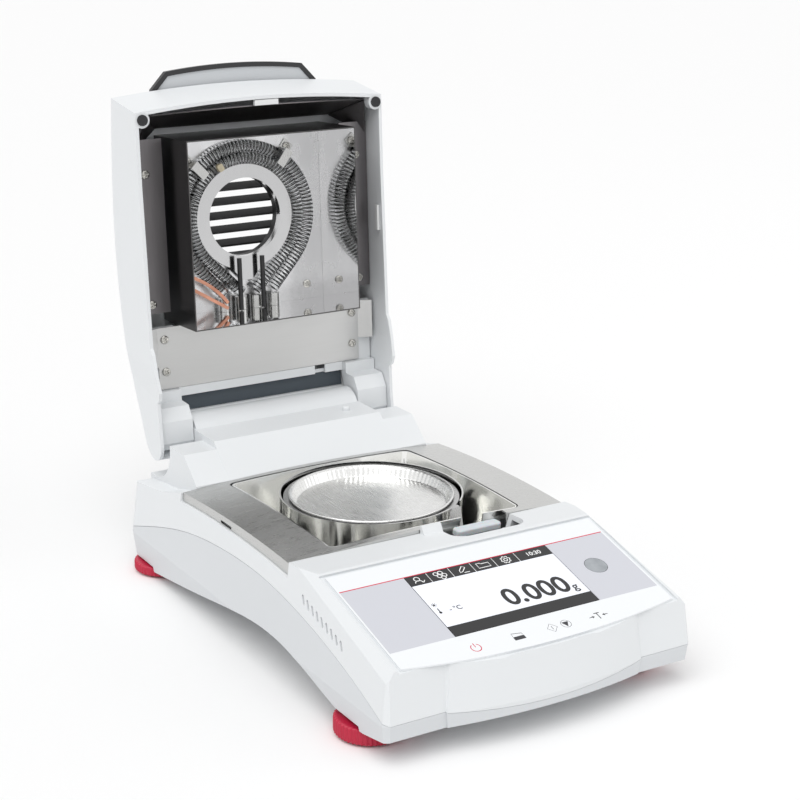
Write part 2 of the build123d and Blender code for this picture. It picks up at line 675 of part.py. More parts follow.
# Handle on the lid's front edge: a black hexagonal frame round a grey panel
handle_out = 214.0
with BuildSketch() as handle_outline:
    with BuildLine():
        Polyline((-58.7, 0), (-60, 8.5), (-49.5, 19.5))
        ThreePointArc((-49.5, 19.5), (0, 22.5), (49.5, 19.5))
        Polyline((49.5, 19.5), (60, 8.5), (58.7, 0), (-58.7, 0))
    make_face()
handle_plane = Plane(origin=(0, hinge_y - handle_out, hinge_z + 29.1), x_dir=(-1, 0, 0), z_dir=(0, 0, 1))
with BuildPart() as handle_frame:
    with BuildSketch(handle_plane):
        add(handle_outline.sketch)
        offset(handle_outline.sketch, amount=-3.0, mode=Mode.SUBTRACT)
    extrude(amount=4.0)
save(handle_frame, "handle_frame", in_lid=True)
with BuildPart() as handle_panel:
    with BuildSketch(handle_plane.offset(0.8)):
        offset(handle_outline.sketch, amount=-3.05)
    extrude(amount=2.4)
save(handle_panel, "handle_panel", in_lid=True)

# Steel liner of the lid: side strips and a sloping front wall with folded corner gussets
with BuildPart() as lid_liner:
    with BuildSketch(Plane.XY.offset(hinge_z + strip_up)):
        for side in (1, -1):
            with Locations((side * 75, hinge_y - 138)):
                Rectangle(21, 112)
    extrude(amount=0.8)
    low, high = (199.0, 20.5), (210.5, -5.0)
    slope = sqrt((high[0] - low[0]) ** 2 + (high[1] - low[1]) ** 2)
    front_wall = Plane(origin=(0, *lid(*low)), x_dir=(-1, 0, 0),
                       z_dir=(0, (high[1] - low[1]) / slope, (high[0] - low[0]) / slope))
    with BuildSketch(front_wall):
        with BuildLine():
            Line((-64, 0), (64, 0))
            Polyline((64, 0), (79, slope - 4))
            ThreePointArc((79, slope - 4), (0, slope + 1), (-79, slope - 4))
            Line((-79, slope - 4), (-64, 0))
        make_face()
    extrude(amount=0.8)
    for side in (1, -1):
        a = Vector(side * 64, *lid(*low))
        b = Vector(side * 79, *lid(209.0, -2.0))
        c = Vector(side * 85, *lid(186.0, strip_up + 1))
        normal = (b - a).cross(c - a).normalized()
        gusset = Plane(origin=a, x_dir=(b - a).normalized(), z_dir=normal)
        with BuildSketch(gusset):
            with BuildLine():
                flat = [gusset.to_local_coords(p) for p in (a, b, c)]
                Polyline(*[(p.X, p.Y) for p in flat], close=True)
            make_face()
        extrude(amount=0.8, both=True)
save(lid_liner, "lid_liner", in_lid=True)

# Brushed plate between the reflector box and the hinge, its ends folded back
with BuildPart() as lid_plate:
    with BuildSketch(Plane.XY.offset(hinge_z + strip_up)):
        with Locations((0, hinge_y - 51.5)):
            Rectangle(150, 41)
    extrude(amount=1.0)
    for side in (1, -1):
        with BuildSketch(Plane.XZ.offset(-(hinge_y - 46))):
            with BuildLine():
                x0, z0 = side * 75, hinge_z + strip_up
                Polyline((x0, z0), (x0 + side * 9, z0 - 4), (x0 + side * 9, z0 - 3), (x0, z0 + 1), close=True)
            make_face()
        extrude(amount=26)
save(lid_plate, "lid_plate", in_lid=True)

# Reflector box: four mirror-polished walls, and its back panel with the sight hole
with BuildPart() as reflector_box:
    with BuildSketch(Plane.XY.offset(hinge_z - box_deep)):
        with Locations((0, hinge_y - (box_near + box_far) / 2)):
            Rectangle(2 * box_half, box_far - box_near)
            Rectangle(2 * box_half - 1.6, box_far - box_near - 1.6, mode=Mode.SUBTRACT)
    extrude(amount=box_deep + box_up - 2.7)
save(reflector_box, "reflector_box", in_lid=True)
with BuildPart() as reflector_panel:
    with BuildSketch(Plane.XY.offset(hinge_z + box_up - 2.6)):
        with Locations((0, hinge_y - (box_near + box_far) / 2)):
            Rectangle(2 * box_half, box_far - box_near)
        with Locations((0, hinge_y - hole_out)):
            Circle(hole_r, mode=Mode.SUBTRACT)
    extrude(amount=0.8)
save(reflector_panel, "reflector_panel", in_lid=True)
with BuildPart() as sight_tube:
    with BuildSketch(Plane.XY.offset(hinge_z + box_up - 1.7)):
        with Locations((0, hinge_y - hole_out)):
            Circle(hole_r + 1.2)
            Circle(hole_r + 0.2, mode=Mode.SUBTRACT)
    extrude(amount=6.0)
save(sight_tube, "sight_tube", in_lid=True)

# Keyhole-shaped polished plate that carries the heater round the sight hole
plate_up = box_up - 7.0
with BuildPart() as heater_plate:
    with BuildSketch(Plane.XY.offset(hinge_z + plate_up)):
        with Locations((0, hinge_y - hole_out)):
            Circle(35.2)
            with BuildLine():
                Polyline((-20, 26), (-3.5, 44), (3.5, 44), (20, 26), close=True)
            make_face()
        with Locations((0, hinge_y - hole_out)):
            Circle(hole_r, mode=Mode.SUBTRACT)
    extrude(amount=0.8)
    with BuildSketch(Plane.XY.offset(hinge_z + plate_up + 0.8)):
        with Locations((0, hinge_y - hole_out)):
            Circle(hole_r + 1.0)
            Circle(hole_r, mode=Mode.SUBTRACT)
    extrude(amount=3.4)
save(heater_plate, "heater_plate", in_lid=True)

# Two concentric ring heaters with legs that run down to the terminals
coil_up = plate_up + 0.2
coil_r = 3.9
for name, ring, leg in (("heater_coil_outer", 47.3, 18.5), ("heater_coil_inner", 39.3, 5.5)):
    down = hole_out - box_near - 12.5
    reach = sqrt(down ** 2 + leg ** 2)
    turn = atan2(leg, -down) - acos(ring / reach)
    touch = (ring * sin(turn), -ring * cos(turn))
    with BuildPart() as coil:
        with BuildLine(Plane(origin=(0, hinge_y - hole_out, hinge_z + coil_up), x_dir=(1, 0, 0), z_dir=(0, 0, 1))) as path:
            Line((leg, down), touch)
            ThreePointArc(touch, (0, -ring), (-touch[0], touch[1]))
            Line((-touch[0], touch[1]), (-leg, down))
        with BuildSketch(Plane(origin=path.line @ 0, z_dir=path.line % 0)):
            Circle(coil_r)
        sweep()
    save(coil, name, in_lid=True)


# Sheet clips that hold the heater rings to the back panel, and the steel ferrules on their ends
with BuildPart() as heater_clips:
    for x, y in ((36, -46), (-42, -43)):
        mid = Vector(x, y).normalized()
        for far, up, long, deep, thick in ((46.9, -coil_r - 1.0, 11, 6, 0.9), (52.9, -coil_r - 1.0, 1.0, 6, 8.4),
                                           (55.9, 3.3, 7.0, 8, 0.8)):
            with BuildSketch(Plane(origin=(mid.X * far, hinge_y - hole_out + mid.Y * far, hinge_z + coil_up + up),
                                   x_dir=(mid.X, mid.Y, 0), z_dir=(0, 0, 1))):
                Rectangle(long, deep)
            extrude(amount=thick)
save(heater_clips, "heater_clips", in_lid=True)
with BuildPart() as heater_terminals:
    with BuildSketch(Plane.XZ.offset(-(hinge_y - box_near - 0.9))):
        for x in (-18.5, -5.5, 5.5, 18.5):
            with Locations((x, hinge_z + coil_up)):
                Circle(4.0)
    extrude(amount=8.5)
save(heater_terminals, "heater_terminals", in_lid=True)

# Two black temperature sensor rods below the neck of the heater plate
with BuildPart() as sensor_rods:
    with BuildSketch(Plane.XZ.offset(-(hinge_y - box_near - 1.6))):
        for x in (-8.5, 8.5):
            with Locations((x, hinge_z + coil_up - coil_r - 1.75)):
                Circle(1.6)
    extrude(amount=hole_out - box_near - 27.8)
save(sensor_rods, "sensor_rods", in_lid=True)

# Copper leads from the rings to the box wall, and the ceramic bead on the inner ring
with BuildPart() as heater_leads:
    for k, (x, out) in enumerate(((-30.0, 92.0), (-37.0, 88.0))):
        start = (-18.5, *lid(80.4 - 3.6 * k, coil_up - 5.25))
        with BuildLine() as lead:
            Spline(start, (x, *lid(out, coil_up - 8.0 - 2 * k)), (-58.8, *lid(out + 14, coil_up - 6.0 - k)))
        with BuildSketch(Plane(origin=lead.line @ 0, z_dir=lead.line % 0)):
            Rectangle(2.2, 2.2)
        sweep()
save(heater_leads, "heater_leads", in_lid=True)
with BuildPart() as heater_bead:
    bead = Vector(-20.0, -36.0).normalized()
    with BuildSketch(Plane(origin=(bead.X * 40.0, hinge_y - hole_out + bead.Y * 40.0, hinge_z + coil_up - 7.5),
                           x_dir=(bead.X, bead.Y, 0), z_dir=(0, 0, 1))):
        RectangleRounded(5, 4, 1.2)
    extrude(amount=3.4)
save(heater_bead, "heater_bead", in_lid=True)

# Small pan-head screws of the lid, one group
with BuildPart() as lid_screws:
    seats = [(sx * 70.0, out, strip_up) for sx in (1, -1) for out in (42.5, 64.0)]
    seats += [(sx * 77.0, out, strip_up) for sx in (1, -1) for out in (88.0, 172.0)]
    seats += [(sx * 47.0, out, box_up - 2.6) for sx in (1, -1) for out in (84.0,)]
    for x, out, up in seats:
        with BuildSketch(Plane.XY.offset(hinge_z + up - 0.05)):
            with Locations((x, hinge_y - out)):
                Circle(2.8)
        extrude(amount=-1.5)
save(lid_screws, "lid_screws", in_lid=True)

# Hinge arms: broad moulded arms bored for the shaft, stepping over the tower's ends to carry the lid
for tag, side in (("left", -1), ("right", 1)):
    with BuildPart() as arm:
        with BuildSketch(Plane.YZ.offset(arm_near if side > 0 else -arm_far)):
            with BuildLine():
                Polyline(lid(-6, -3), lid(-5, -8.5), lid(0, -12), lid(14, -11.5), lid(22.4, -6.5), lid(23.3, 3.9),
                         lid(30.4, 3.9), lid(30.4, strip_up + 1.2), lid(72, strip_up + 1.2), lid(72, strip_up + 5),
                         lid(30, strip_up + 5.2), lid(12, 6.2), lid(2, 4.5), lid(-4, 2), close=True)
            make_face()
            with Locations((hinge_y, hinge_z)):
                Circle(shaft_r + 0.05, mode=Mode.SUBTRACT)
        extrude(amount=arm_far - arm_near)
        add(lid_shell.part, mode=Mode.SUBTRACT)
    save(arm, f"hinge_arm_{tag}", in_lid=True)

# Cross strip beside the brushed plate, relieved over the plunger, and the dark seal behind it
with BuildPart() as lid_cross_strip:
    with BuildSketch(Plane.YZ):
        with BuildLine():
            Polyline(lid(25, 15.2), lid(25, strip_up - 0.2), lid(30.8, strip_up - 0.2), lid(30.8, strip_up + 1.4),
                     lid(27.4, strip_up + 1.4), lid(27.4, 15.2), close=True)
        make_face()
    extrude(amount=arm_near - 0.3, both=True)
    with BuildSketch(Plane.XY.offset(hinge_z)):
        with Locations((plunger_x, hinge_y - 28)):
            Rectangle(8, 12)
    extrude(amount=11.2, mode=Mode.SUBTRACT)
save(lid_cross_strip, "lid_cross_strip", in_lid=True)
with BuildPart() as hinge_seal:
    with BuildSketch(Plane.YZ):
        with BuildLine():
            Polyline(lid(24.8, 11.3), lid(24.8, 12.2), lid(14.5, 10.7), lid(14.5, 9.9), close=True)
        make_face()
    extrude(amount=arm_near - 0.5, both=True)
save(hinge_seal, "hinge_seal", in_lid=True)

# Latch bar, bumpers and switch tab on the lid's rim
with BuildPart() as latch_bar:
    with BuildSketch(Plane.XY.offset(hinge_z - rim_drop)):
        with Locations((3, hinge_y - 213.1)):
            Rectangle(17, 3.4)
    extrude(amount=2.4)
save(latch_bar, "latch_bar", in_lid=True)
with BuildPart() as lid_bumpers:
    with BuildSketch(Plane.XY.offset(hinge_z - rim_drop - 1.2)):
        with Locations((bumper_x, hinge_y - bumper_out), (-bumper_x, hinge_y - bumper_out)):
            Circle(bumper_r)
    extrude(amount=1.2 + bumper_deep - 0.1)
save(lid_bumpers, "lid_bumpers", in_lid=True)
with BuildPart() as lid_side_tab:
    with BuildSketch(Plane.XY.offset(hinge_z - 6)):
        with Locations((85.2, hinge_y - 130)):
            Rectangle(1.6, 17)
    extrude(amount=3)
save(lid_side_tab, "lid_side_tab", in_lid=True)

# Sprung plunger on the tower's step that senses the lid
with BuildPart() as lid_plunger:
    with BuildSketch(Plane.XY.offset(84)):
        with Locations((plunger_x, pan_y + 108)):
            Circle(2.4)
    extrude(amount=12.6)
    fillet(lid_plunger.faces().sort_by(Axis.Z)[-1].edges(), 1.4)
save(lid_plunger, "lid_plunger")

# Rear sockets: mains inlet and data ports
with BuildPart() as mains_inlet:
    with BuildSketch(Plane.XZ.offset(-(rear_y - 0.5))):
        with Locations((-57, 28)):
            RectangleRounded(30, 22, 3)
    extrude(amount=16)
    with BuildSketch(Plane.XZ.offset(-(rear_y - 0.5))):
        with Locations((-57, 28)):
            RectangleRounded(24, 16, 2)
            with Locations((0, 3), (-7, -1), (7, -1)):
                Rectangle(2, 4, mode=Mode.SUBTRACT)
    extrude(amount=12, mode=Mode.SUBTRACT)
save(mains_inlet, "mains_inlet")
with BuildPart() as data_ports:
    with BuildSketch(Plane.XZ.offset(-(rear_y - 0.5))):
        for x, w, h in ((10, 32, 12), (42, 14, 8), (64, 14, 14)):
            with Locations((x, 28)):
                RectangleRounded(w, h, 1.2)
    extrude(amount=14)
    with BuildSketch(Plane.XZ.offset(-(rear_y - 0.5))):
        for x, w, h in ((10, 17, 7), (42, 12, 5), (64, 11, 9)):
            with Locations((x, 28)):
                RectangleRounded(w, h, 1.0)
    extrude(amount=8, mode=Mode.SUBTRACT)
save(data_ports, "data_ports")
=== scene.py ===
"""Looks of a moisture analyzer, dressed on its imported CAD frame.

Metres, +Z up, front towards -Y. The lid stands open at rest.
"""

from math import acos, atan2, cos, hypot, pi, radians, sin
import random

import bmesh
import bpy
from mathutils import Euler, Matrix, Vector


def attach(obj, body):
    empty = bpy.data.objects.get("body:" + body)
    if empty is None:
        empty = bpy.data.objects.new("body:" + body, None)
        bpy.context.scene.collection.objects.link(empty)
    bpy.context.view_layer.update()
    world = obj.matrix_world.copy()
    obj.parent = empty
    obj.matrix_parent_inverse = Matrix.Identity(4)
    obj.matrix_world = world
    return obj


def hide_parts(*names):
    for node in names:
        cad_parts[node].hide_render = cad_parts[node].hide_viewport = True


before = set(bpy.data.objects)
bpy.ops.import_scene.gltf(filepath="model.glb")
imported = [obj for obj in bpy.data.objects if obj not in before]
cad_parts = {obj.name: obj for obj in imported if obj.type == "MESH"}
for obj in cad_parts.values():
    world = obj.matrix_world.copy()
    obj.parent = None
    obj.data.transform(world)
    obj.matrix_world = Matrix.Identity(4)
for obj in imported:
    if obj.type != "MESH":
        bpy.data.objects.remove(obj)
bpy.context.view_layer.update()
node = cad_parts
MM = 0.001
PAN_Y = 3.3
HINGE_Y, HINGE_Z = 137.2, 85.9


# Moulded housing of the base: light grey ABS in two halves that meet at an arched
# parting line. Fine spark-eroded grain, slightly darker below than above.
def node_material(name, colour, roughness, metallic=0.0):
    """An empty procedural finish: its shader with the plain values set on its own sockets."""
    finish = bpy.data.materials.new(name)
    finish.use_nodes = True
    shader = finish.node_tree.nodes["Principled BSDF"]
    shader.inputs["Base Color"].default_value = (*colour, 1)
    shader.inputs["Roughness"].default_value = roughness
    shader.inputs["Metallic"].default_value = metallic
    finish.diffuse_color = (*colour, 1)
    return finish, finish.node_tree.nodes, finish.node_tree.links, shader


def object_noise(nodes, links, scale, detail=3.0, stretch=(1, 1, 1)):
    """Noise fixed to the piece; stretch below one draws it out along that direction."""
    coordinates = nodes.new("ShaderNodeTexCoord")
    mapping = nodes.new("ShaderNodeMapping")
    mapping.inputs["Scale"].default_value = stretch
    noise = nodes.new("ShaderNodeTexNoise")
    noise.inputs["Scale"].default_value = scale
    noise.inputs["Detail"].default_value = detail
    links.new(coordinates.outputs["Object"], mapping.inputs["Vector"])
    links.new(mapping.outputs["Vector"], noise.inputs["Vector"])
    return noise.outputs["Fac"]


def spread(nodes, links, value, low, high):
    """Maps a noise value, mostly between 0.3 and 0.7, onto low to high."""
    ranged = nodes.new("ShaderNodeMapRange")
    ranged.inputs["From Min"].default_value, ranged.inputs["From Max"].default_value = 0.3, 0.7
    ranged.inputs["To Min"].default_value, ranged.inputs["To Max"].default_value = low, high
    links.new(value, ranged.inputs["Value"])
    return ranged.outputs["Result"]


def tint(nodes, links, value, colour_a, colour_b):
    """Blends two colours by a value."""
    mix = nodes.new("ShaderNodeMix")
    mix.data_type = "RGBA"
    mix.inputs["A"].default_value, mix.inputs["B"].default_value = (*colour_a, 1), (*colour_b, 1)
    links.new(value, mix.inputs["Factor"])
    return mix.outputs["Result"]


def relief(nodes, links, shader, value, strength, depth):
    """Fine surface relief from a value; depth is in metres."""
    bump = nodes.new("ShaderNodeBump")
    bump.inputs["Strength"].default_value = strength
    bump.inputs["Distance"].default_value = depth
    links.new(value, bump.inputs["Height"])
    links.new(bump.outputs["Normal"], shader.inputs["Normal"])


def moulded_plastic(name, colour, roughness=0.42, grain=1800.0, strength=0.25):
    """Moulded plastic: faint shade drift from the moulding, spark-eroded grain."""
    finish, nodes, links, shader = node_material(name, colour, roughness)
    drift = object_noise(nodes, links, 9.0, 2.0)
    darker = tuple(c * 0.965 for c in colour)
    links.new(tint(nodes, links, drift, darker, colour), shader.inputs["Base Color"])
    fine = object_noise(nodes, links, grain, 2.0)
    links.new(spread(nodes, links, fine, roughness - 0.05, roughness + 0.05), shader.inputs["Roughness"])
    relief(nodes, links, shader, fine, strength, 0.00012)
    return finish


def dress(names, finish):
    """Gives CAD nodes their finish."""
    for name in names.split():
        slots = node[name].material_slots
        if slots:
            for entry in slots:
                entry.material = finish
        else:
            node[name].data.materials.append(finish)


housing_white = moulded_plastic("housing_white", (0.79, 0.81, 0.825))
dress("upper_housing", housing_white)
dress("lower_housing", moulded_plastic("housing_lower_grey", (0.69, 0.71, 0.73)))


# Control panel: one printed polyester film let into the sloping front. White, with a
# thin red line across and a grey field on each side of the display window.
PANEL_BACK, PANEL_FRONT = (PAN_Y - 101.5, 75.9), (PAN_Y - 180.0, 54.2)
panel_slope = atan2(PANEL_BACK[1] - PANEL_FRONT[1], PANEL_BACK[0] - PANEL_FRONT[0])
panel_middle = Vector((0, (PANEL_BACK[0] + PANEL_FRONT[0]) / 2, (PANEL_BACK[1] + PANEL_FRONT[1]) / 2)) * MM
panel_up = Vector((0, cos(panel_slope), sin(panel_slope)))
panel_out = Vector((0, -sin(panel_slope), cos(panel_slope)))
panel_place = Matrix.Translation(panel_middle) @ Matrix((
    (1, 0, 0, 0), (0, panel_up.y, panel_out.y, 0), (0, panel_up.z, panel_out.z, 0), (0, 0, 0, 1)))
FIELD_HALF, FIELD_LOW, LINE_UP, LINE_THICK = 88.0, -28.0, 26.6, 0.75
FILM_RED = (0.66, 0.012, 0.06)


def maths(nodes, links, operation, a, b):
    """One arithmetic step between values or numbers."""
    step = nodes.new("ShaderNodeMath")
    step.operation = operation
    for entry, value in zip(step.inputs, (a, b)):
        if isinstance(value, (int, float)):
            entry.default_value = value
        else:
            links.new(value, entry)
    return step.outputs["Value"]


def printed_film():
    """White film with its printed fields, laid out in the panel's own directions."""
    finish, nodes, links, shader = node_material("printed_film", (0.86, 0.88, 0.90), 0.3)
    coordinates = nodes.new("ShaderNodeTexCoord")
    offset = nodes.new("ShaderNodeVectorMath")
    offset.operation = "SUBTRACT"
    offset.inputs[1].default_value = panel_middle
    links.new(coordinates.outputs["Object"], offset.inputs[0])

    def along(direction):
        dot = nodes.new("ShaderNodeVectorMath")
        dot.operation = "DOT_PRODUCT"
        dot.inputs[1].default_value = direction
        links.new(offset.outputs["Vector"], dot.inputs[0])
        return maths(nodes, links, "MULTIPLY", dot.outputs["Value"], 1 / MM)

    across, up = along((1, 0, 0)), along(panel_up)
    inside_width = maths(nodes, links, "LESS_THAN", maths(nodes, links, "ABSOLUTE", across, 0), FIELD_HALF)
    above_low = maths(nodes, links, "GREATER_THAN", up, FIELD_LOW)
    below_line = maths(nodes, links, "LESS_THAN", up, LINE_UP)
    field = maths(nodes, links, "MULTIPLY", inside_width,
                  maths(nodes, links, "MULTIPLY", above_low, below_line))
    from_line = maths(nodes, links, "ABSOLUTE", maths(nodes, links, "SUBTRACT", up, LINE_UP), 0)
    on_line = maths(nodes, links, "MULTIPLY", inside_width,
                    maths(nodes, links, "LESS_THAN", from_line, LINE_THICK / 2))
    weave = object_noise(nodes, links, 2600.0, 2.0)
    white = tint(nodes, links, weave, (0.85, 0.87, 0.89), (0.88, 0.90, 0.92))
    grey = nodes.new("ShaderNodeMix")
    grey.data_type = "RGBA"
    links.new(field, grey.inputs["Factor"])
    links.new(white, grey.inputs["A"])
    grey.inputs["B"].default_value = (0.62, 0.63, 0.68, 1)
    red = nodes.new("ShaderNodeMix")
    red.data_type = "RGBA"
    links.new(on_line, red.inputs["Factor"])
    links.new(grey.outputs["Result"], red.inputs["A"])
    red.inputs["B"].default_value = (*FILM_RED, 1)
    links.new(red.outputs["Result"], shader.inputs["Base Color"])
    relief(nodes, links, shader, weave, 0.12, 0.00005)
    return finish


dress("panel_film", printed_film())


# Touch display behind the film's window: glass with a white field, a black bar of five
# menu symbols and a clock above, a black message bar below, and the weight reading.
FILM_TOP, INK_THICK, LETTERING_LIFT = -0.05, 0.02, 0.03


def strip(points, width, closed=False):
    """A drawn line of even width, as four-cornered pieces along the points."""
    count = len(points)
    sides = []
    for k, (x, y) in enumerate(points):
        x0, y0 = points[(k - 1) % count] if closed or k else points[k]
        x1, y1 = points[(k + 1) % count] if closed or k < count - 1 else points[k]
        dx, dy = x1 - x0, y1 - y0
        size = hypot(dx, dy) or 1.0
        nx, ny = -dy / size * width / 2, dx / size * width / 2
        sides.append(((x + nx, y + ny), (x - nx, y - ny)))
    last = count if closed else count - 1
    return [(sides[k][0], sides[(k + 1) % count][0], sides[(k + 1) % count][1], sides[k][1])
            for k in range(last)]


def ring_points(x, y, radius, start=0.0, end=360.0, steps=28):
    """Points on a circle or an arc of it."""
    full = abs(end - start) >= 360
    steps_round = steps if full else steps + 1
    return [(x + radius * cos(radians(start + (end - start) * k / steps)),
             y + radius * sin(radians(start + (end - start) * k / steps))) for k in range(steps_round)]


def box_points(x, y, width, height):
    """Corners of an upright rectangle round a centre."""
    return [(x - width / 2, y - height / 2), (x + width / 2, y - height / 2),
            (x + width / 2, y + height / 2), (x - width / 2, y + height / 2)]


def mesh_piece(name, vertices, faces, finish, smooth=False):
    """A new mesh piece from vertices in metres."""
    mesh = bpy.data.meshes.new(name)
    mesh.from_pydata(vertices, [], faces)
    mesh.update()
    mesh.materials.append(finish)
    if smooth:
        mesh.polygons.foreach_set("use_smooth", [True] * len(mesh.polygons))
    piece = bpy.data.objects.new(name, mesh)
    bpy.context.scene.collection.objects.link(piece)
    return piece


def panel_print(name, shapes, finish, lift):
    """Flat printed shapes, in millimetres on the panel, as one thin layer of ink."""
    vertices, faces = [], []
    for shape in shapes:
        area = sum(x0 * y1 - x1 * y0 for (x0, y0), (x1, y1) in zip(shape, shape[1:] + shape[:1]))
        shape = list(shape) if area > 0 else list(reversed(shape))
        base, size = len(vertices), len(shape)
        for level in (FILM_TOP + lift, FILM_TOP + lift - INK_THICK):
            vertices += [panel_place @ (Vector((x, y, level)) * MM) for x, y in shape]
        faces.append(tuple(range(base, base + size)))
        faces.append(tuple(range(base + 2 * size - 1, base + size - 1, -1)))
        faces += [(base + (k + 1) % size, base + k, base + size + k, base + size + (k + 1) % size)
                  for k in range(size)]
    piece = mesh_piece(name, vertices, faces, finish)
    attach(piece, "base")


def panel_lettering(name, words, x, y, size, finish, bold):
    """Figures or signs in plain lettering, centred on a point of the panel."""
    curve = bpy.data.curves.new(name, "FONT")
    curve.body, curve.size = words, size * MM
    curve.align_x = curve.align_y = "CENTER"
    curve.offset, curve.extrude = bold * MM, 0.01 * MM
    curve.resolution_u = 6
    letters = bpy.data.objects.new(name + "_curve", curve)
    bpy.context.scene.collection.objects.link(letters)
    bpy.context.view_layer.update()
    mesh = bpy.data.meshes.new_from_object(letters.evaluated_get(bpy.context.evaluated_depsgraph_get()))
    bpy.data.objects.remove(letters)
    mesh.name = name
    mesh.transform(panel_place @ Matrix.Translation(Vector((x, y, FILM_TOP + LETTERING_LIFT)) * MM))
    mesh.materials.clear()
    mesh.materials.append(finish)
    piece = bpy.data.objects.new(name, mesh)
    bpy.context.scene.collection.objects.link(piece)
    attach(piece, "base")


def lit_field(name, colour, glow):
    """A lit part of the display: faint rows of picture cells over an even glow."""
    finish, nodes, links, shader = node_material(name, colour, 0.25)
    cells = object_noise(nodes, links, 5200.0, 1.0)
    shade = tint(nodes, links, cells, tuple(c * 0.985 for c in colour), colour)
    links.new(shade, shader.inputs["Base Color"])
    links.new(shade, shader.inputs["Emission Color"])
    shader.inputs["Emission Strength"].default_value = glow
    return finish


def printed_ink(name, colour, roughness=0.45):
    """Printed ink, a little uneven."""
    finish, nodes, links, shader = node_material(name, colour, roughness)
    spots = object_noise(nodes, links, 3000.0, 2.0)
    links.new(tint(nodes, links, spots, tuple(c * 0.85 for c in colour), colour), shader.inputs["Base Color"])
    return finish


def display_glass_finish():
    """Dark cover glass with faint finger smears in its gloss."""
    finish, nodes, links, shader = node_material("display_glass_dark", (0.012, 0.012, 0.016), 0.08)
    smears = object_noise(nodes, links, 60.0, 4.0, (1, 0.3, 1))
    links.new(spread(nodes, links, smears, 0.05, 0.14), shader.inputs["Roughness"])
    return finish


dress("display_glass", display_glass_finish())
dress("display_module", moulded_plastic("black_moulding", (0.018, 0.018, 0.02), 0.45))
screen_white = lit_field("screen_white", (0.86, 0.88, 0.95), 0.12)
screen_black = printed_ink("screen_black", (0.008, 0.008, 0.009), 0.3)
symbol_white = lit_field("symbol_white", (0.92, 0.92, 0.92), 0.1)
SCREEN_WIDE, SCREEN_TOP, TOP_BAR, LOW_BAR, SCREEN_LOW = 94.6, 26.0, 17.8, -19.2, -27.6
top_middle, top_tall = (TOP_BAR + SCREEN_TOP) / 2, SCREEN_TOP - TOP_BAR
low_middle, low_tall = (LOW_BAR + SCREEN_LOW) / 2, LOW_BAR - SCREEN_LOW
panel_print("screen_field", [box_points(0, (LOW_BAR + TOP_BAR) / 2, SCREEN_WIDE, TOP_BAR - LOW_BAR)],
            screen_white, 0.0)
panel_print("screen_bars", [box_points(0, top_middle, SCREEN_WIDE, top_tall),
                            box_points(0, low_middle, SCREEN_WIDE, low_tall)], screen_black, 0.0)
dividers = [box_points(x, top_middle, 0.3, top_tall) for x in (-33.7, -19.3, -4.9, 9.8, 25.0)]
person = strip(ring_points(-41.2, 23.0, 1.7), 0.5, True) + strip(ring_points(-41.2, 19.0, 2.6, 20, 160), 0.5)
person += strip([(-39.4, 20.2), (-38.6, 19.4), (-37.2, 21.0)], 0.5)
groups = sum((strip(ring_points(-26.4 + dx, 22.0 + dy, 1.35), 0.5, True)
              for dx, dy in ((-2.2, 1.6), (0.9, 1.9), (2.4, -0.6), (-0.9, -0.8), (0.9, -2.4))), [])
pencil = strip([(-14.2, 20.0), (-13.8, 22.0), (-10.8, 25.0), (-9.3, 23.6), (-12.4, 20.5)], 0.5, True)
pencil += strip([(-12.0, 19.4), (-8.4, 19.4)], 0.5)
folder = strip([(-1.6, 20.0), (-1.6, 24.2), (0.8, 24.2), (1.6, 23.4), (6.2, 23.4), (6.2, 20.0)], 0.5, True)
teeth = [3.1 if k % 4 < 2 else 2.4 for k in range(32)]
gear = strip([(17.4 + reach * cos(k * pi / 16 + 0.1), 22.0 + reach * sin(k * pi / 16 + 0.1))
              for k, reach in enumerate(teeth)], 0.5, True)
gear += strip(ring_points(17.4, 22.0, 1.1), 0.5, True)
panel_print("screen_symbols", dividers + person + groups + pencil + folder + gear, symbol_white, 0.02)
panel_lettering("screen_clock", "10:30", 36.5, 22.0, 4.6, symbol_white, 0.05)
panel_lettering("screen_reading", "0.000", 17.6, -9.0, 19.5, screen_black, 0.42)
panel_lettering("screen_unit", "g", 41.3, -12.6, 8.5, screen_black, 0.12)
panel_lettering("screen_degrees", "- °C", -34.2, -6.6, 4.8, screen_black, 0.06)
LAMP_X, LAMP_Y = -44.3, -0.4
lamp = [ring_points(LAMP_X, LAMP_Y, 0.8)]
for ray in [k * pi / 4 for k in range(8)]:
    lamp += strip([(LAMP_X + reach * cos(ray), LAMP_Y + reach * sin(ray)) for reach in (1.1, 1.7)], 0.35)
thermometer = [ring_points(-44.0, -7.2, 0.9), box_points(-44.0, -5.2, 0.7, 3.4)]
panel_print("screen_gauge_symbols", lamp + thermometer, screen_black, 0.02)


# Key symbols printed on the film under the display: on and off, open the lid, start
# and stop, tare. One layer of ink each, no relief.
key_red = printed_ink("key_red", FILM_RED)
key_black = printed_ink("key_black", (0.03, 0.03, 0.035))
KEY_ROW, POWER_X, START_X, STOP_X, TARE_X = -39.4, -41.9, 7.3, 16.6, 38.3
panel_print("key_power", strip(ring_points(POWER_X, KEY_ROW, 2.9, 120, 420, 40), 0.5)
            + strip([(POWER_X, KEY_ROW + 0.4), (POWER_X, KEY_ROW + 3.7)], 0.5), key_red, 0.01)
lifted_lid = [(-17.8, KEY_ROW + 1.0), (-17.8, KEY_ROW + 3.2), (-11.6, KEY_ROW + 2.2), (-11.6, KEY_ROW + 1.0)]
panel_print("key_lid", [box_points(-14.7, KEY_ROW - 1.0, 7.0, 2.8)] + strip(lifted_lid, 0.4), key_black, 0.01)
diamond = [(START_X, KEY_ROW - 3.4), (START_X + 3.2, KEY_ROW),
           (START_X, KEY_ROW + 3.4), (START_X - 3.2, KEY_ROW)]
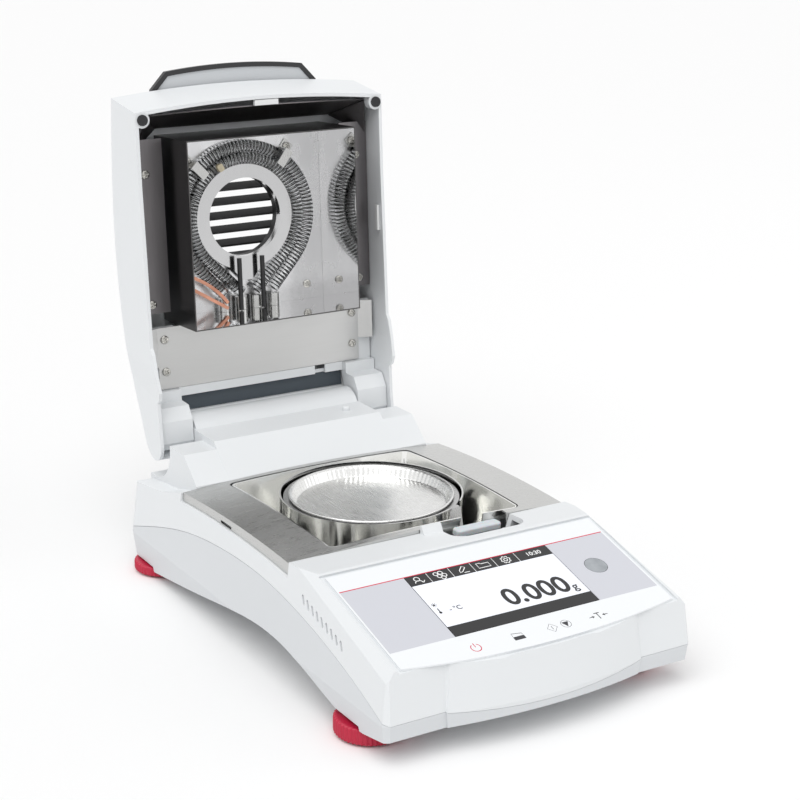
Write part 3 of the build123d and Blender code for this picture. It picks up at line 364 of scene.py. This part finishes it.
triangle = [(STOP_X - 2.2, KEY_ROW + 2.0), (STOP_X, KEY_ROW - 2.1), (STOP_X + 2.2, KEY_ROW + 2.0)]
panel_print("key_start_stop", strip(diamond, 0.3, True)
            + strip([(START_X, KEY_ROW - 1.4), (START_X, KEY_ROW + 1.4)], 0.35)
            + strip(ring_points(STOP_X, KEY_ROW + 0.4, 3.0), 0.25, True) + [triangle], key_black, 0.01)
tare = []
for side in (-1, 1):
    head_x, tip_x = TARE_X + side * 4.1, TARE_X + side * 2.5
    tare += strip([(TARE_X + side * 6.1, KEY_ROW), (TARE_X + side * 3.3, KEY_ROW)], 0.5)
    tare.append([(head_x, KEY_ROW - 1.0), (tip_x, KEY_ROW), (head_x, KEY_ROW + 1.0)])
tare += strip([(TARE_X - 1.8, KEY_ROW + 2.4), (TARE_X + 1.8, KEY_ROW + 2.4)], 0.6)
tare += strip([(TARE_X, KEY_ROW + 2.4), (TARE_X, KEY_ROW - 2.6)], 0.6)
panel_print("key_tare", tare, key_black, 0.01)


# Round spirit level in the right grey field: a moulded cup and the vial of clear acrylic
# pressed into it.
dress("level_cup", moulded_plastic("level_cup_grey", (0.30, 0.31, 0.33), 0.4))


def vial_finish():
    """Clear acrylic over oil, with a cloudy drift in it."""
    finish, nodes, links, shader = node_material("vial_clear", (0.72, 0.76, 0.78), 0.06)
    cloud = object_noise(nodes, links, 120.0, 2.0)
    links.new(tint(nodes, links, cloud, (0.16, 0.18, 0.20), (0.50, 0.53, 0.56)), shader.inputs["Base Color"])
    shader.inputs["Metallic"].default_value = 0.35
    shader.inputs["Coat Weight"].default_value = 0.6
    return finish


dress("level_vial", vial_finish())


# Levelling feet: a knurled wheel of dark red plastic on a threaded stud, turning on a
# rubber-faced pad that stays still on the bench.
RIBS, RIB_DEEP, FOOT_R, STUD_R = 48, 0.75, 20.5, 4.0
FOOT_ACROSS, FOOT_FRONT, FOOT_REAR = 83.5, PAN_Y - 140.8, PAN_Y + 125.5
FRONT_TALL, REAR_TALL, STUD_TALL = 10.5, 7.4, 14
knurled_red = moulded_plastic("knurled_red", (0.50, 0.010, 0.045), 0.38, 1400.0, 0.2)


def turned_piece(name, profile, place, segments, finish, swell):
    """A turned piece: profile is (radius, height) in millimetres round the place's own axis."""
    vertices, faces, rings = [], [], []
    for radius, height in profile:
        if radius < 1e-6:
            rings.append([len(vertices)] * segments)
            vertices.append(place @ (Vector((0, 0, height)) * MM))
            continue
        rings.append(list(range(len(vertices), len(vertices) + segments)))
        for k in range(segments):
            turn = 2 * pi * k / segments
            r, z = swell(turn, radius, height)
            vertices.append(place @ (Vector((r * cos(turn), r * sin(turn), z)) * MM))
    for low, high in zip(rings, rings[1:]):
        for k in range(segments):
            corners = (low[k], low[(k + 1) % segments], high[(k + 1) % segments], high[k])
            face = tuple(dict.fromkeys(corners))
            if len(face) > 2:
                faces.append(face)
    return mesh_piece(name, vertices, faces, finish, smooth=True)


def knurl(turn, radius, height):
    """Pulls the rim in between its ribs."""
    if radius < FOOT_R - 1.5:
        return radius, height
    return radius - RIB_DEEP * (0.5 - 0.5 * cos(RIBS * turn)) ** 0.6, height


for tag, x, y, tall in (("front_left", -FOOT_ACROSS, FOOT_FRONT, FRONT_TALL),
                        ("front_right", FOOT_ACROSS, FOOT_FRONT, FRONT_TALL),
                        ("rear_left", -FOOT_ACROSS, FOOT_REAR, REAR_TALL),
                        ("rear_right", FOOT_ACROSS, FOOT_REAR, REAR_TALL)):
    wheel_profile = [(0, 5.2), (3.05, 5.2), (3.05, 1.2), (FOOT_R - 2.4, 1.2), (FOOT_R - 0.9, 1.3),
                     (FOOT_R - 0.1, 1.9), (FOOT_R, 2.6), (FOOT_R, tall - 1.2), (FOOT_R - 0.2, tall - 0.5),
                     (FOOT_R - 1.0, tall), (FOOT_R - 2.4, tall), (STUD_R + 0.3, tall), (STUD_R, tall + 0.3),
                     (STUD_R, tall + STUD_TALL - 0.6), (STUD_R - 0.6, tall + STUD_TALL),
                     (0, tall + STUD_TALL)]
    wheel_place = Matrix.Translation(Vector((x, y, 0)) * MM)
    wheel = turned_piece(f"knurled_wheel_{tag}", wheel_profile, wheel_place, RIBS * 8, knurled_red, knurl)
    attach(wheel, f"foot_wheel_{tag}")
    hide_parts(f"foot_wheel_{tag}")
rubber_black = moulded_plastic("rubber_black", (0.022, 0.022, 0.024), 0.75, 900.0, 0.3)
dress("foot_pad_front_left foot_pad_front_right foot_pad_rear_left foot_pad_rear_right", rubber_black)


# Cover plate round the chamber: one folded sheet of satin stainless steel, brushed
# from side to side, with its skirts down on the housing.
def brushed_steel(name, colour, roughness, stretch, scale=1500.0, strength=0.18):
    """Brushed stainless sheet: fine lines in its gloss and in its surface."""
    finish, nodes, links, shader = node_material(name, colour, roughness, 1.0)
    lines = object_noise(nodes, links, scale, 4.0, stretch)
    links.new(spread(nodes, links, lines, roughness - 0.07, roughness + 0.09), shader.inputs["Roughness"])
    broad = object_noise(nodes, links, 14.0, 2.0)
    links.new(tint(nodes, links, broad, tuple(c * 0.93 for c in colour), colour), shader.inputs["Base Color"])
    relief(nodes, links, shader, lines, strength, 0.00006)
    return finish


dress("chamber_cover", brushed_steel("cover_satin_steel", (0.60, 0.60, 0.59), 0.30, (0.02, 1, 1)))


# Chamber well and wind ring: bright polished stainless, a little wavy from drawing, so
# that their reflections bend. Pan support, lifter arm and hinge shaft are plain steel.
def polished_steel(name, colour, roughness=0.06, wave=0.25, scale=35.0):
    """Mirror-polished sheet with a slow waviness and a few wipe marks."""
    finish, nodes, links, shader = node_material(name, colour, roughness, 1.0)
    marks = object_noise(nodes, links, 90.0, 5.0, (1, 1, 0.4))
    links.new(spread(nodes, links, marks, roughness * 0.7, roughness * 1.8), shader.inputs["Roughness"])
    slow = object_noise(nodes, links, scale, 1.0)
    links.new(tint(nodes, links, slow, tuple(c * 0.95 for c in colour), colour), shader.inputs["Base Color"])
    relief(nodes, links, shader, slow, wave, 0.001)
    return finish


dress("chamber_well", polished_steel("well_mirror_steel", (0.90, 0.90, 0.88), 0.10))
dress("wind_ring", polished_steel("ring_mirror_steel", (0.66, 0.66, 0.65), 0.09, 0.15))
turned_steel = brushed_steel("plain_turned_steel", (0.50, 0.50, 0.50), 0.28, (1, 1, 0.1))
dress("pan_support pan_lifter hinge_shaft", turned_steel)


# Pan lifter's grip: a frosted, slightly blue plastic moulding on the steel arm that
# lifts the pan out.
def frosted_grip():
    """Frosted clear plastic: cloudy, soft gloss."""
    finish, nodes, links, shader = node_material("frosted_grip", (0.66, 0.70, 0.73), 0.5)
    cloud = object_noise(nodes, links, 220.0, 3.0)
    links.new(tint(nodes, links, cloud, (0.58, 0.62, 0.65), (0.70, 0.74, 0.77)), shader.inputs["Base Color"])
    shader.inputs["Subsurface Weight"].default_value = 0.25
    shader.inputs["Subsurface Scale"].default_value = 0.004
    relief(nodes, links, shader, cloud, 0.2, 0.0002)
    return finish


dress("lifter_grip", frosted_grip())


# Sample pan: pressed aluminium foil, flat rolled floor, flared wall pleated all round
# by the pressing, and a rolled rim.
PAN_TOP, PAN_DEEP, PAN_RIM_R, FOIL = 77.4, 7.0, 51.0, 0.25
pan_floor = PAN_TOP - PAN_DEEP
WALL_R, WALL_FLARE, WALL_RISE, WALL_STEPS, BEND_R = 46.3, 2.3, 5.0, 7, 48.9
ROLL_R, PLEAT_DEEP, PLEATS = 0.72, 0.34, 92
random.seed(7)
pleat_depth = [random.uniform(0.5, 1.0) for _ in range(PLEATS)]


def foil_finish():
    """Bright foil: rolling lines on the floor, creases on the wall."""
    finish, nodes, links, shader = node_material("pressed_foil", (0.80, 0.80, 0.79), 0.24, 1.0)
    rolled = object_noise(nodes, links, 1300.0, 4.0, (1, 0.05, 1))
    links.new(spread(nodes, links, rolled, 0.20, 0.36), shader.inputs["Roughness"])
    dents = object_noise(nodes, links, 160.0, 3.0)
    links.new(tint(nodes, links, dents, (0.72, 0.72, 0.71), (0.84, 0.84, 0.83)), shader.inputs["Base Color"])
    relief(nodes, links, shader, dents, 0.25, 0.0005)
    return finish


def pleat(turn, radius, height):
    """Presses pleats into the wall only."""
    if not WALL_R - 0.1 < radius < BEND_R or height > PAN_TOP - 0.5:
        return radius, height
    place = turn / (2 * pi) * PLEATS
    depth = PLEAT_DEEP * pleat_depth[int(place) % PLEATS] * (0.5 - 0.5 * cos(2 * pi * place))
    return radius + depth - PLEAT_DEEP / 2, height


rim = PAN_RIM_R - 0.75
pan_profile = [(0, pan_floor + FOIL), (30, pan_floor + FOIL), (42.0, pan_floor + FOIL),
               (44.0, pan_floor + FOIL + 0.25), (45.6, pan_floor + 0.30), (46.1, pan_floor + 0.7)]
pan_profile += [(WALL_R + WALL_FLARE * k / WALL_STEPS, pan_floor + 0.9 + WALL_RISE * k / WALL_STEPS)
                for k in range(WALL_STEPS + 1)]
pan_profile += [(BEND_R, PAN_TOP - 0.75), (49.3, PAN_TOP - 0.55)]
pan_profile += [(rim + ROLL_R * cos(radians(a)), PAN_TOP - 0.74 + ROLL_R * sin(radians(a)))
                for a in range(150, -151, -30)]
pan_profile += [(49.1, PAN_TOP - 1.0)]
pan_profile += [(WALL_R + FOIL + WALL_FLARE * k / WALL_STEPS, pan_floor + 0.7 + WALL_RISE * k / WALL_STEPS)
                for k in range(WALL_STEPS, -1, -1)]
pan_profile += [(WALL_R, pan_floor + 0.3), (45.6, pan_floor), (30, pan_floor), (0, pan_floor)]
pan_place = Matrix.Translation(Vector((0, PAN_Y, 0)) * MM)
foil_pan = turned_piece("foil_pan", pan_profile, pan_place, PLEATS * 8, foil_finish(), pleat)
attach(foil_pan, "sample_pan")
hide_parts("sample_pan")


# Lid hood and its hinge arms: one white ABS moulding, open underneath, with two arms
# bored for the hinge shaft. The latch bar and side tab are smoother white plastic, the
# seal by the hinge is dark slate as painted shade for the shadowed gap there, and the
# bumpers are rubber.
dress("lid_shell hinge_arm_left hinge_arm_right lid_cross_strip lid_plunger",
      moulded_plastic("lid_white", (0.80, 0.82, 0.835)))
# The seal is coloured dark slate as painted shade for the shadowed gap by the hinge.
dress("hinge_seal", moulded_plastic("hinge_seal_painted_shade", (0.055, 0.070, 0.085), 0.6))
dress("latch_bar lid_side_tab", moulded_plastic("part_white", (0.84, 0.85, 0.85), 0.35))
dress("lid_bumpers", rubber_black)


# Handle on the lid's front edge, where the hand takes hold: a black moulded frame
# clipped round a pale grey panel.
dress("handle_frame", moulded_plastic("handle_black", (0.020, 0.020, 0.022), 0.5))
dress("handle_panel", moulded_plastic("handle_grey", (0.60, 0.62, 0.64), 0.35))


# Liner of the lid: folded steel strips and gussets, left dark by the rolling mill, and
# the brushed stainless plate below the heaters, all held by screws.
dress("lid_liner", brushed_steel("liner_dark_steel", (0.20, 0.19, 0.195), 0.38, (1, 1, 0.03), 1200.0, 0.12))
dress("lid_plate", brushed_steel("lid_plate_brushed", (0.60, 0.60, 0.595), 0.36, (0.02, 1, 1)))


# Reflector box: four mirror-polished walls and the back panel with the sight hole. The
# walls' outer faces are rougher, and their near-black colour is painted shade.
LID_TILT = radians(3.0)
lid_place = Matrix(((1, 0, 0, 0), (0, sin(LID_TILT), -cos(LID_TILT), HINGE_Y * MM),
                    (0, cos(LID_TILT), sin(LID_TILT), HINGE_Z * MM), (0, 0, 0, 1)))
HOLE_OUT, BOX_NEAR, BOX_FAR, BOX_UP = 135.5, 73.0, 194.0, 31.0


def in_lid(x, out, up):
    """A point of the open lid: across, out from the hinge axis, and up into the hood."""
    return lid_place @ (Vector((x, out, -up)) * MM)


def box_wall_finish():
    """Polished towards the middle of the box; rougher on its outer faces, which are painted near-black as
    shade.
    """
    finish, nodes, links, shader = node_material("box_mirror_steel_painted_shade", (0.74, 0.74, 0.74), 0.05, 1.0)
    coordinates = nodes.new("ShaderNodeTexCoord")
    from_middle = nodes.new("ShaderNodeVectorMath")
    from_middle.operation = "SUBTRACT"
    from_middle.inputs[1].default_value = in_lid(0, (BOX_NEAR + BOX_FAR) / 2, 5.0)
    facing = nodes.new("ShaderNodeVectorMath")
    facing.operation = "DOT_PRODUCT"
    links.new(coordinates.outputs["Object"], from_middle.inputs[0])
    links.new(from_middle.outputs["Vector"], facing.inputs[0])
    links.new(coordinates.outputs["Normal"], facing.inputs[1])
    outer = maths(nodes, links, "GREATER_THAN", facing.outputs["Value"], 0.0)
    # Outer faces get a near-black colour: painted shade inside the lid.
    shade = tint(nodes, links, outer, (0.74, 0.74, 0.74), (0.10, 0.098, 0.098))
    links.new(shade, shader.inputs["Base Color"])
    smear = object_noise(nodes, links, 40.0, 3.0, (1, 1, 0.3))
    rough = maths(nodes, links, "MULTIPLY_ADD", outer, 0.26)
    rough.node.inputs[2].default_value = 0.04
    uneven = spread(nodes, links, smear, 0.0, 0.03)
    links.new(maths(nodes, links, "ADD", rough, uneven), shader.inputs["Roughness"])
    relief(nodes, links, shader, smear, 0.06, 0.0008)
    return finish


dress("reflector_box", box_wall_finish())
dress("reflector_panel", polished_steel("back_panel_polished", (0.70, 0.70, 0.71), 0.20, 0.1, 22.0))
dress("heater_plate", polished_steel("keyhole_plate_polished", (0.56, 0.56, 0.565), 0.12, 0.08, 30.0))
dress("heater_clips", brushed_steel("clip_steel", (0.55, 0.55, 0.54), 0.25, (1, 1, 0.1)))
dress("sight_tube lid_grille", moulded_plastic("vent_black", (0.016, 0.016, 0.017), 0.5))
dress("sensor_rods", moulded_plastic("sensor_black", (0.012, 0.012, 0.013), 0.35))


# Ring heaters: two quartz tubes bent round the sight hole, with straight legs down to
# the ferrules and a wound resistance wire inside each.
COIL_UP, WIND_R, PITCH, PER_TURN = 24.2, 3.05, 2.5, 12
LEG_END, WIRE_END = 12.5, 2


def quartz_finish():
    """Clear quartz tube, faintly streaked by drawing."""
    finish, nodes, links, shader = node_material("quartz_clear", (0.95, 0.96, 0.96), 0.03)
    shader.inputs["Transmission Weight"].default_value = 1.0
    shader.inputs["IOR"].default_value = 1.45
    streaks = object_noise(nodes, links, 260.0, 2.0)
    links.new(spread(nodes, links, streaks, 0.0, 0.05), shader.inputs["Roughness"])
    return finish


def wound_wire_finish():
    """Oxidised resistance wire."""
    finish, nodes, links, shader = node_material("wound_wire", (0.06, 0.058, 0.056), 0.38, 0.9)
    scale_marks = object_noise(nodes, links, 700.0, 3.0)
    shade = tint(nodes, links, scale_marks, (0.03, 0.029, 0.028), (0.10, 0.098, 0.095))
    links.new(shade, shader.inputs["Base Color"])
    return finish


def ring_path(ring, leg, step=0.5):
    """Centre line of a ring heater, from one leg's end to the other, in lid millimetres."""
    down = HOLE_OUT - BOX_NEAR - LEG_END
    turn = atan2(leg, -down) - acos(ring / hypot(down, leg))
    touch = (ring * sin(turn), ring * cos(turn))
    points, length = [], hypot(touch[0] - leg, touch[1] + down)
    for k in range(int(length / step)):
        share = k * step / length
        points.append((leg + (touch[0] - leg) * share, -down + (touch[1] + down) * share))
    start = atan2(touch[1], touch[0])
    sweep = 2 * (pi / 2 - start) if start < pi / 2 else 0
    steps = max(2, int(ring * sweep / step))
    points += [(ring * cos(start + sweep * k / steps), ring * sin(start + sweep * k / steps))
               for k in range(steps)]
    points += [(-x, y) for x, y in reversed(points[:int(length / step)])]
    return points


def wire_along(name, points, radius, finish, sides=6):
    """A round wire through points given in metres."""
    vertices, faces, normal = [], [], None
    for k, point in enumerate(points):
        ahead = (points[min(k + 1, len(points) - 1)] - points[max(k - 1, 0)]).normalized()
        if normal is None:
            normal = ahead.orthogonal().normalized()
        normal = (normal - ahead * normal.dot(ahead)).normalized()
        side = ahead.cross(normal)
        vertices += [point + (normal * cos(2 * pi * s / sides) + side * sin(2 * pi * s / sides)) * radius
                     for s in range(sides)]
        if k:
            low, high = (k - 1) * sides, k * sides
            faces += [(low + s, low + (s + 1) % sides, high + (s + 1) % sides, high + s)
                      for s in range(sides)]
    faces.append(tuple(reversed(range(sides))))
    faces.append(tuple(range(len(vertices) - sides, len(vertices))))
    return mesh_piece(name, vertices, faces, finish, smooth=True)


wound_wire = wound_wire_finish()
dress("heater_coil_outer heater_coil_inner", quartz_finish())
for name, ring, leg in (("outer", 47.3, 18.5), ("inner", 39.3, 5.5)):
    centre_line = ring_path(ring, leg)
    winding, lengths = [], [0.0]
    for a, b in zip(centre_line, centre_line[1:]):
        lengths.append(lengths[-1] + hypot(b[0] - a[0], b[1] - a[1]))
    total, at = lengths[-1], 0
    count = int((total - 2 * WIRE_END) / PITCH * PER_TURN)
    for k in range(count):
        want = WIRE_END + k * PITCH / PER_TURN
        while at < len(lengths) - 2 and lengths[at + 1] < want:
            at += 1
        (x0, y0), (x1, y1) = centre_line[at], centre_line[at + 1]
        share = (want - lengths[at]) / max(lengths[at + 1] - lengths[at], 1e-9)
        size = hypot(x1 - x0, y1 - y0)
        across = (-(y1 - y0) / size, (x1 - x0) / size)
        turn = 2 * pi * k / PER_TURN
        winding.append(in_lid(x0 + (x1 - x0) * share + across[0] * WIND_R * cos(turn),
                              HOLE_OUT + y0 + (y1 - y0) * share + across[1] * WIND_R * cos(turn),
                              COIL_UP + WIND_R * sin(turn)))
    wire = wire_along(f"heater_wire_{name}", winding, 0.35 * MM, wound_wire)
    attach(wire, "lid")


# Ends of the heaters: steel ferrules on the rings' legs, leads of copper strip, and a
# bead of cream unglazed ceramic.
def ceramic_finish():
    """Cream unglazed ceramic, chalky."""
    finish, nodes, links, shader = node_material("cream_ceramic", (0.70, 0.62, 0.44), 0.7)
    chalk = object_noise(nodes, links, 500.0, 3.0)
    links.new(tint(nodes, links, chalk, (0.60, 0.52, 0.36), (0.76, 0.68, 0.50)), shader.inputs["Base Color"])
    relief(nodes, links, shader, chalk, 0.3, 0.0002)
    return finish


def copper_finish():
    """Copper strip gone brown near the heat."""
    finish, nodes, links, shader = node_material("copper_strip", (0.62, 0.30, 0.20), 0.3, 1.0)
    tarnish = object_noise(nodes, links, 130.0, 3.0)
    shade = tint(nodes, links, tarnish, (0.36, 0.15, 0.10), (0.72, 0.38, 0.27))
    links.new(shade, shader.inputs["Base Color"])
    relief(nodes, links, shader, tarnish, 0.2, 0.0003)
    return finish


dress("heater_bead", ceramic_finish())
dress("heater_terminals", brushed_steel("ferrule_steel", (0.58, 0.58, 0.57), 0.24, (1, 1, 0.1)))
dress("heater_leads", copper_finish())


# Screws of the lid: pan heads with a cross recess, plated, in the liner, the lower
# plate, the back panel and the heater clips.
SCREW_R, SCREW_TALL, CROSS_DEEP, HEAD_STEPS = 2.8, 1.5, 0.95, 48
screw_steel = polished_steel("screw_plated", (0.52, 0.51, 0.48), 0.18, 0.2, 300.0)


def cross_recess(turn, radius, height):
    """Sinks the cross into the middle of the head."""
    along_x, along_y = abs(radius * cos(turn)), abs(radius * sin(turn))
    inside = radius < SCREW_R * 0.66 and min(along_x, along_y) < 0.36
    return (radius, height - CROSS_DEEP) if inside else (radius, height)


head_profile = [(0, SCREW_TALL - CROSS_DEEP)]
head_profile += [(SCREW_R * 0.95 * k / 12, SCREW_TALL - 0.55 * (k / 12) ** 3) for k in range(1, 13)]
head_profile += [(SCREW_R, SCREW_TALL * 0.45), (SCREW_R, 0.0), (0, 0.0)]
CLIP_FAR, STRIP_UP = 55.9, 8.2
clip_ways = [Vector(way).normalized() for way in ((36, 46), (-42, 43))]
seats = [(side * 70.0, out, STRIP_UP) for side in (1, -1) for out in (42.5, 64.0)]
seats += [(side * 77.0, out, STRIP_UP) for side in (1, -1) for out in (88.0, 172.0)]
seats += [(side * 47.0, 84.0, BOX_UP - 2.6) for side in (1, -1)]
clip_seats = [(way.x * CLIP_FAR, HOLE_OUT + way.y * CLIP_FAR, COIL_UP + 3.3) for way in clip_ways]


def screw_set(name, places):
    """Screw heads facing out of the open lid, each turned its own way, in one mesh."""
    joined = bmesh.new()
    for k, (x, out, up) in enumerate(places):
        seat = lid_place @ Matrix.Translation(Vector((x, out, -up)) * MM)
        place = seat @ Matrix.Rotation(0.4 + 1.1 * k, 4, "Z")
        head = turned_piece(name + "_head", head_profile, place, HEAD_STEPS, screw_steel, cross_recess)
        joined.from_mesh(head.data)
        bpy.data.objects.remove(head)
    mesh = bpy.data.meshes.new(name)
    joined.to_mesh(mesh)
    joined.free()
    mesh.materials.append(screw_steel)
    piece = bpy.data.objects.new(name, mesh)
    bpy.context.scene.collection.objects.link(piece)
    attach(piece, "lid")
    return piece


liner_screws = screw_set("liner_screws", seats)
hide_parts("lid_screws")
screw_set("clip_screws", clip_seats)


# Inside the base, seen only through gaps: circuit boards and the weighing cell. The
# mains inlet and the other sockets are let into the back wall.
def board_finish():
    """Green solder mask with its copper tracks showing through."""
    finish, nodes, links, shader = node_material("circuit_board", (0.02, 0.16, 0.06), 0.35)
    tracks = object_noise(nodes, links, 260.0, 1.0, (1, 0.2, 1))
    shade = tint(nodes, links, tracks, (0.015, 0.12, 0.045), (0.03, 0.20, 0.08))
    links.new(shade, shader.inputs["Base Color"])
    return finish


dress("main_board power_supply", board_finish())
dress("weighing_cell cell_bracket", brushed_steel("milled_aluminium", (0.62, 0.63, 0.64), 0.35, (1, 0.05, 1)))
dress("mains_inlet", moulded_plastic("inlet_black", (0.018, 0.018, 0.02), 0.45))
dress("data_ports", brushed_steel("port_steel", (0.42, 0.42, 0.43), 0.32, (0.1, 1, 1)))


# Studio: a pale floor, one wide soft light from above and to the left, a weak lamp on
# the right, and an even white surround that the polished steel reflects. The camera
# stands where the photograph was taken from.
def backdrop_world():
    """White to the camera and to reflections, a softer even light on matt surfaces."""
    world = bpy.data.worlds.new("studio_surround")
    world.use_nodes = True
    nodes, links = world.node_tree.nodes, world.node_tree.links
    background = nodes["Background"]
    path = nodes.new("ShaderNodeLightPath")
    mirrored = maths(nodes, links, "MAXIMUM", path.outputs["Is Glossy Ray"],
                     path.outputs["Is Transmission Ray"])
    seen = maths(nodes, links, "MAXIMUM", path.outputs["Is Camera Ray"], mirrored)
    strength = nodes.new("ShaderNodeMapRange")
    strength.inputs["To Min"].default_value, strength.inputs["To Max"].default_value = 0.55, 1.0
    links.new(seen, strength.inputs["Value"])
    background.inputs["Color"].default_value = (1, 1, 1, 1)
    links.new(strength.outputs["Result"], background.inputs["Strength"])
    bpy.context.scene.world = world


def soft_lamp(name, place, aim, size, power):
    """A square soft box that points at a spot."""
    lamp_data = bpy.data.lights.new(name, "AREA")
    lamp_data.shape, lamp_data.size, lamp_data.energy = "SQUARE", size, power
    lamp_piece = bpy.data.objects.new(name, lamp_data)
    lamp_piece.location = place
    lamp_piece.rotation_euler = (Vector(aim) - Vector(place)).to_track_quat("-Z", "Y").to_euler()
    bpy.context.scene.collection.objects.link(lamp_piece)


def floor_finish():
    """White paper sweep."""
    finish, nodes, links, shader = node_material("paper_white", (0.93, 0.93, 0.93), 0.9)
    fibre = object_noise(nodes, links, 300.0, 2.0)
    shade = tint(nodes, links, fibre, (0.925, 0.925, 0.925), (0.935, 0.935, 0.935))
    links.new(shade, shader.inputs["Base Color"])
    return finish


backdrop_world()
soft_lamp("fill_lamp", (1.5, -1.2, 1.1), (0, 0, 0.1), 1.2, 4)
sun_data = bpy.data.lights.new("window_light", "SUN")
sun_data.energy, sun_data.angle = 1.75, radians(55)
window_light = bpy.data.objects.new("window_light", sun_data)
window_light.rotation_euler = Vector((0.45, 0.35, -1.0)).to_track_quat("-Z", "Y").to_euler()
bpy.context.scene.collection.objects.link(window_light)
SWEEP = 12.0
floor_corners = [(-SWEEP, -SWEEP, 0), (SWEEP, -SWEEP, 0), (SWEEP, SWEEP, 0), (-SWEEP, SWEEP, 0)]
floor = mesh_piece("paper_floor", floor_corners, [(0, 1, 2, 3)], floor_finish())

camera_data = bpy.data.cameras.new("studio_camera")
camera_data.sensor_width, camera_data.lens = 36.0, 80.28
camera_data.shift_x, camera_data.shift_y = 0.0335, -0.0036
camera_data.clip_end = 60.0
camera = bpy.data.objects.new("studio_camera", camera_data)
camera.location = (-0.5237, -0.8828, 0.4540)
camera.rotation_euler = Euler((radians(72.93), 0, radians(-30.65)))
bpy.context.scene.collection.objects.link(camera)
bpy.context.scene.camera = camera
bpy.context.scene.view_settings.view_transform = "Standard"
